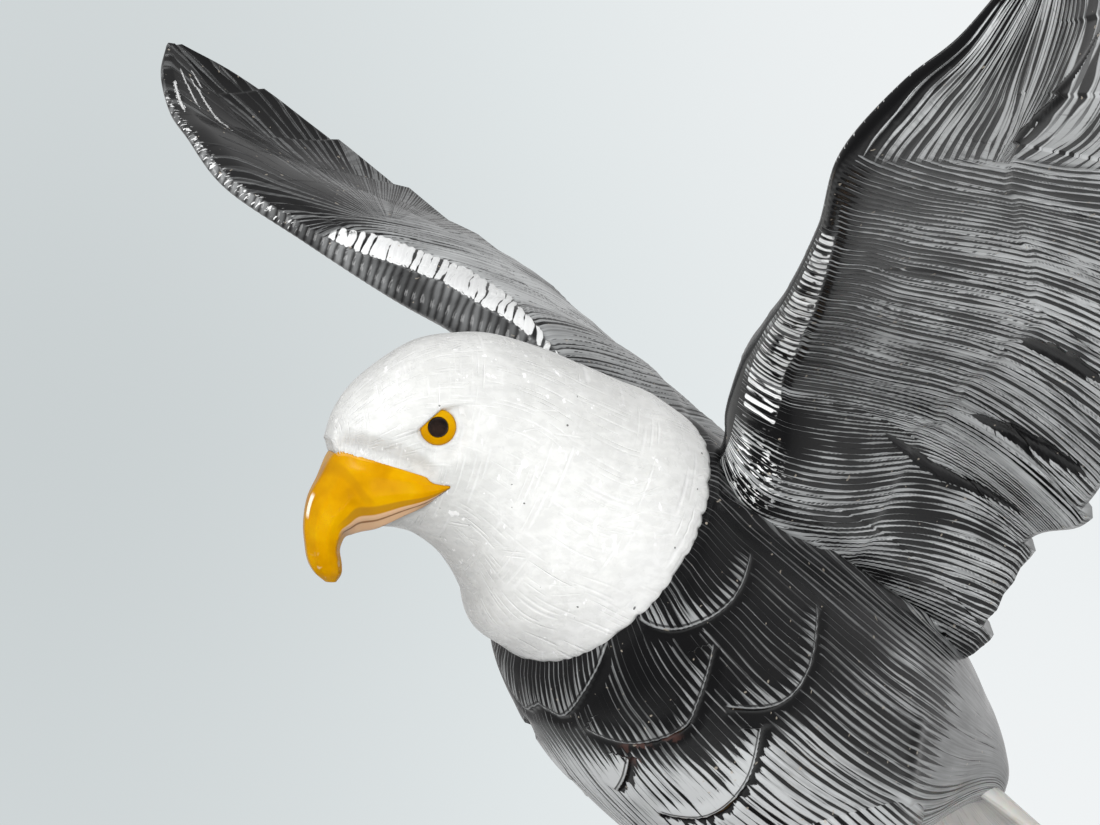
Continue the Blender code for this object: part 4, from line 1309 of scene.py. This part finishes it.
def clear_quartz_finish(strokes):
    stone = Finish("clear_quartz", (0.86, 0.85, 0.81), 0.25, IOR=1.54, Transmission_Weight=0.35,
                   Subsurface_Weight=0.2, Subsurface_Scale=0.002)
    across, along = stone.map("lines")
    cut = stone.use(strokes, Across=across, Along=along, Length=8.0, Half=0.3, Skip=0.3)["Cut"]
    stone.colour(stone.ramp(stone.noise(120, 5.0), (0.35, (0.72, 0.70, 0.65)), (0.65, (0.92, 0.91, 0.88))))
    stone.bump((cut * -1.0, 0.06), (stone.noise(900, 3.0), 0.02))
    return stone.material


def beak_marks(stone, colour):
    """A facet's edge, the darker bevel, the pale strip below (the underside painted as shade lit by reflected light)
    with the mouth's line, a painted glint and the worn tip.
    """
    share, corner = stone.map("place")
    # Painted shade lit by reflected light: the pale strip of the underside
    painted_underside_shade = stone.ease(corner, 2.88, 2.96) * stone.ease(corner, 6.12, 6.04) * stone.ease(share, 0.62, 0.50)
    bevel = stone.ease(corner, 2.42, 2.56) * stone.ease(corner, 6.58, 6.44) * stone.ease(share, 0.60, 0.40)
    facet = stone.ease(abs(corner * 0.055 + (share - 0.42)), 0.035, 0.012) * stone.ease(corner, 2.6, 1.9)
    mouth = stone.ease(abs(corner - 3.30), 0.10, 0.03) * (painted_underside_shade * 0.8)
    # Painted highlight: a pale glint near the beak's top ridge
    painted_ridge_glint = stone.ease(abs(share - 0.565), 0.055, 0.030) * stone.ease(abs(corner - 0.16), 0.16, 0.08)
    worn = stone.ease(stone.noise(900, 2.0), 0.60, 0.66) * stone.ease(share, 0.70, 0.95)
    for mark, tint in ((facet * 0.30, (0.36, 0.15, 0.004)), (bevel * 0.70, (0.33, 0.16, 0.012)),
                       (painted_underside_shade, (0.62, 0.40, 0.24)), (mouth, (0.16, 0.07, 0.02)),
                       (painted_ridge_glint * 0.85, (0.98, 0.93, 0.80)), (worn * 0.7, (0.75, 0.62, 0.40))):
        colour = stone.mix(mark, colour, tint)
    return colour


def yellow_finish(name, beak=False):
    stone = Finish(name, (0.60, 0.28, 0.0), 0.13, IOR=1.55, Specular_IOR_Level=0.15,
                   Subsurface_Weight=0.06, Subsurface_Scale=0.001)
    colour = stone.ramp(stone.noise(260, 4.0), (0.30, (0.47, 0.205, 0.0)), (0.52, (0.60, 0.290, 0.0)),
                        (0.72, (0.66, 0.36, 0.001)))
    stone.colour(beak_marks(stone, colour) if beak else colour)
    stone.bump((stone.noise(500, 2.0), 0.03), (stone.noise(2400, 2.0), 0.006))
    return stone.material


def pupil_finish():
    stone = Finish("pupil_stone", (0.012, 0.009, 0.008), 0.10)
    stone.colour(stone.ramp(stone.noise(900, 2.0), (0.3, (0.006, 0.005, 0.005)), (0.7, (0.03, 0.018, 0.014))))
    return stone.material


def base_finish():
    stone = Finish("base_stone", (0.03, 0.03, 0.032), 0.35)
    stone.colour(stone.ramp(stone.noise(130, 6.0), (0.3, (0.016, 0.016, 0.018)), (0.7, (0.050, 0.050, 0.053))))
    stone.rough(stone.ramp(stone.noise(200, 4.0), (0.3, 0.25), (0.7, 0.42)))
    stone.bump((stone.noise(420, 5.0), 0.10))
    return stone.material


# Floor, lights and camera

CAMERA_AT = (0.2333, -0.2115, 0.1006)
FILM_MM = 36.0
LENS_MM = 91.636
LAMPS_AIM = (0, 0, 0.075)


def place_camera():
    camera = bpy.data.cameras.new("camera")
    camera.sensor_width = FILM_MM
    camera.lens = LENS_MM
    camera.clip_start = 0.01
    seen = bpy.data.objects.new("camera", camera)
    bpy.context.scene.collection.objects.link(seen)
    turned = np.eye(4)
    turned[:3] = np.stack([RIGHT, ABOVE, -AHEAD, CAMERA_AT], axis=1)
    seen.matrix_world = Matrix(turned)
    bpy.context.scene.camera = seen


def softbox(name, place, size, power, mirrored=True):
    lamp = bpy.data.lights.new(name, "AREA")
    lamp.shape = "RECTANGLE"
    lamp.size, lamp.size_y = size
    lamp.energy = power
    held = bpy.data.objects.new(name, lamp)
    bpy.context.scene.collection.objects.link(held)
    held.location = place
    held.visible_glossy = mirrored
    held.rotation_euler = (Vector(LAMPS_AIM) - Vector(place)).to_track_quat("-Z", "Y").to_euler()


def from_view(right, ahead, high):
    """A place given to the right of, beyond and above the figure as the camera sees it."""
    flat = unit(np.array([AHEAD[0], AHEAD[1], 0]))
    return tuple(RIGHT * right + flat * ahead + UP * high)


def build_floor():
    """A plain round floor that fades out towards its edge."""
    bpy.ops.object.select_all(action="DESELECT")
    bpy.ops.mesh.primitive_circle_add(vertices=96, radius=0.40, fill_type="NGON")
    floor = bpy.context.object
    floor.name = "floor"
    floor.location = from_view(0.02, 0.045, -0.0001)
    pale = Finish("pale_floor", (0.80, 0.81, 0.81), 0.7)
    far = pale.made("VectorMath", "Value", {0: pale.made("TexCoord", "Object")}, operation="LENGTH")
    solid = Reading(pale, pale.nodes["Principled BSDF"].outputs[0])
    blend = pale.made("MixShader", 0, {0: pale.ease(far, 0.060, 0.135), 1: solid, 2: pale.made("BsdfTransparent", 0)})
    pale.put(pale.nodes["Material Output"].inputs["Surface"], blend)
    floor.data.materials.append(pale.material)


# Light that falls on the stone from round about, by direction: where from, how wide, how strong
AROUND_LIGHT = [
    (from_view(0.2, 1.0, -0.1), 0.1, 0.95, 0.42),
    (from_view(0.5, 0.6, -0.8), 0.3, 0.9, 0.22),
    (from_view(0.0, 0.0, 1.0), 0.5, 1.0, 0.30),
    (from_view(1.0, 0.2, 0.0), 0.3, 1.0, 0.20),
    (from_view(-1.0, 0.0, 0.3), 0.2, 1.0, 0.14),
]


def build_world():
    """A pale backdrop for the camera, and softer light from round about for everything else."""
    world = bpy.data.worlds.new("studio")
    bpy.context.scene.world = world
    world.use_nodes = True
    g = Graph(world.node_tree)
    where = g.made("TexCoord", "Generated")

    def towards(direction):
        aim = tuple(unit(np.array(direction)))
        return g.made("VectorMath", "Value", {0: where, 1: aim}, operation="DOT_PRODUCT")

    lit = 0.06
    for direction, low, high, strong in AROUND_LIGHT:
        lit = lit + g.ease(towards(direction), low, high) * strong
    across = g.ease(towards(RIGHT), -0.20, 0.19)
    height = g.ease(abs(towards(UP) + 0.055), 0.0, 0.16)
    shown = g.ramp(across * 0.86 + height * 0.14, (0.0, (0.585, 0.628, 0.638)), (0.55, (0.745, 0.79, 0.80)),
                   (1.0, (0.875, 0.90, 0.91)))
    seen = g.made("LightPath", "Is Camera Ray")
    backdrop = g.nodes["Background"].inputs
    g.put(backdrop["Color"], g.mix(seen, (1.0, 1.0, 1.0), shown))
    g.put(backdrop["Strength"], lit * (1.0 - seen) + seen)


place_camera()
build_floor()
build_world()
bpy.context.scene.view_settings.view_transform = "Standard"
softbox("key", from_view(-0.42, -0.10, 0.42), (0.26, 0.26), 0.85)
softbox("fill", from_view(0.10, -0.60, 0.25), (0.50, 0.40), 3.6, mirrored=False)
softbox("low_fill", from_view(-0.30, -0.45, 0.02), (0.40, 0.12), 1.4, mirrored=False)
softbox("rim", from_view(0.26, 0.36, 0.52), (0.20, 0.14), 1.0, mirrored=False)

strokes = engraved_strokes()
flats = grooved_flats()
build_body(body_finish(flats))
wing_stone = wing_finish(flats, barbed_slashes())
build_wing(1, "left", wing_stone)
build_wing(-1, "right", wing_stone)
yellow = yellow_finish("yellow_stone")
build_head(quartz_finish(strokes), yellow, yellow_finish("beak_stone", beak=True), pupil_finish())
build_tail(clear_quartz_finish(strokes))
build_leg(1, "left", yellow)
build_leg(-1, "right", yellow)
build_base(base_finish())
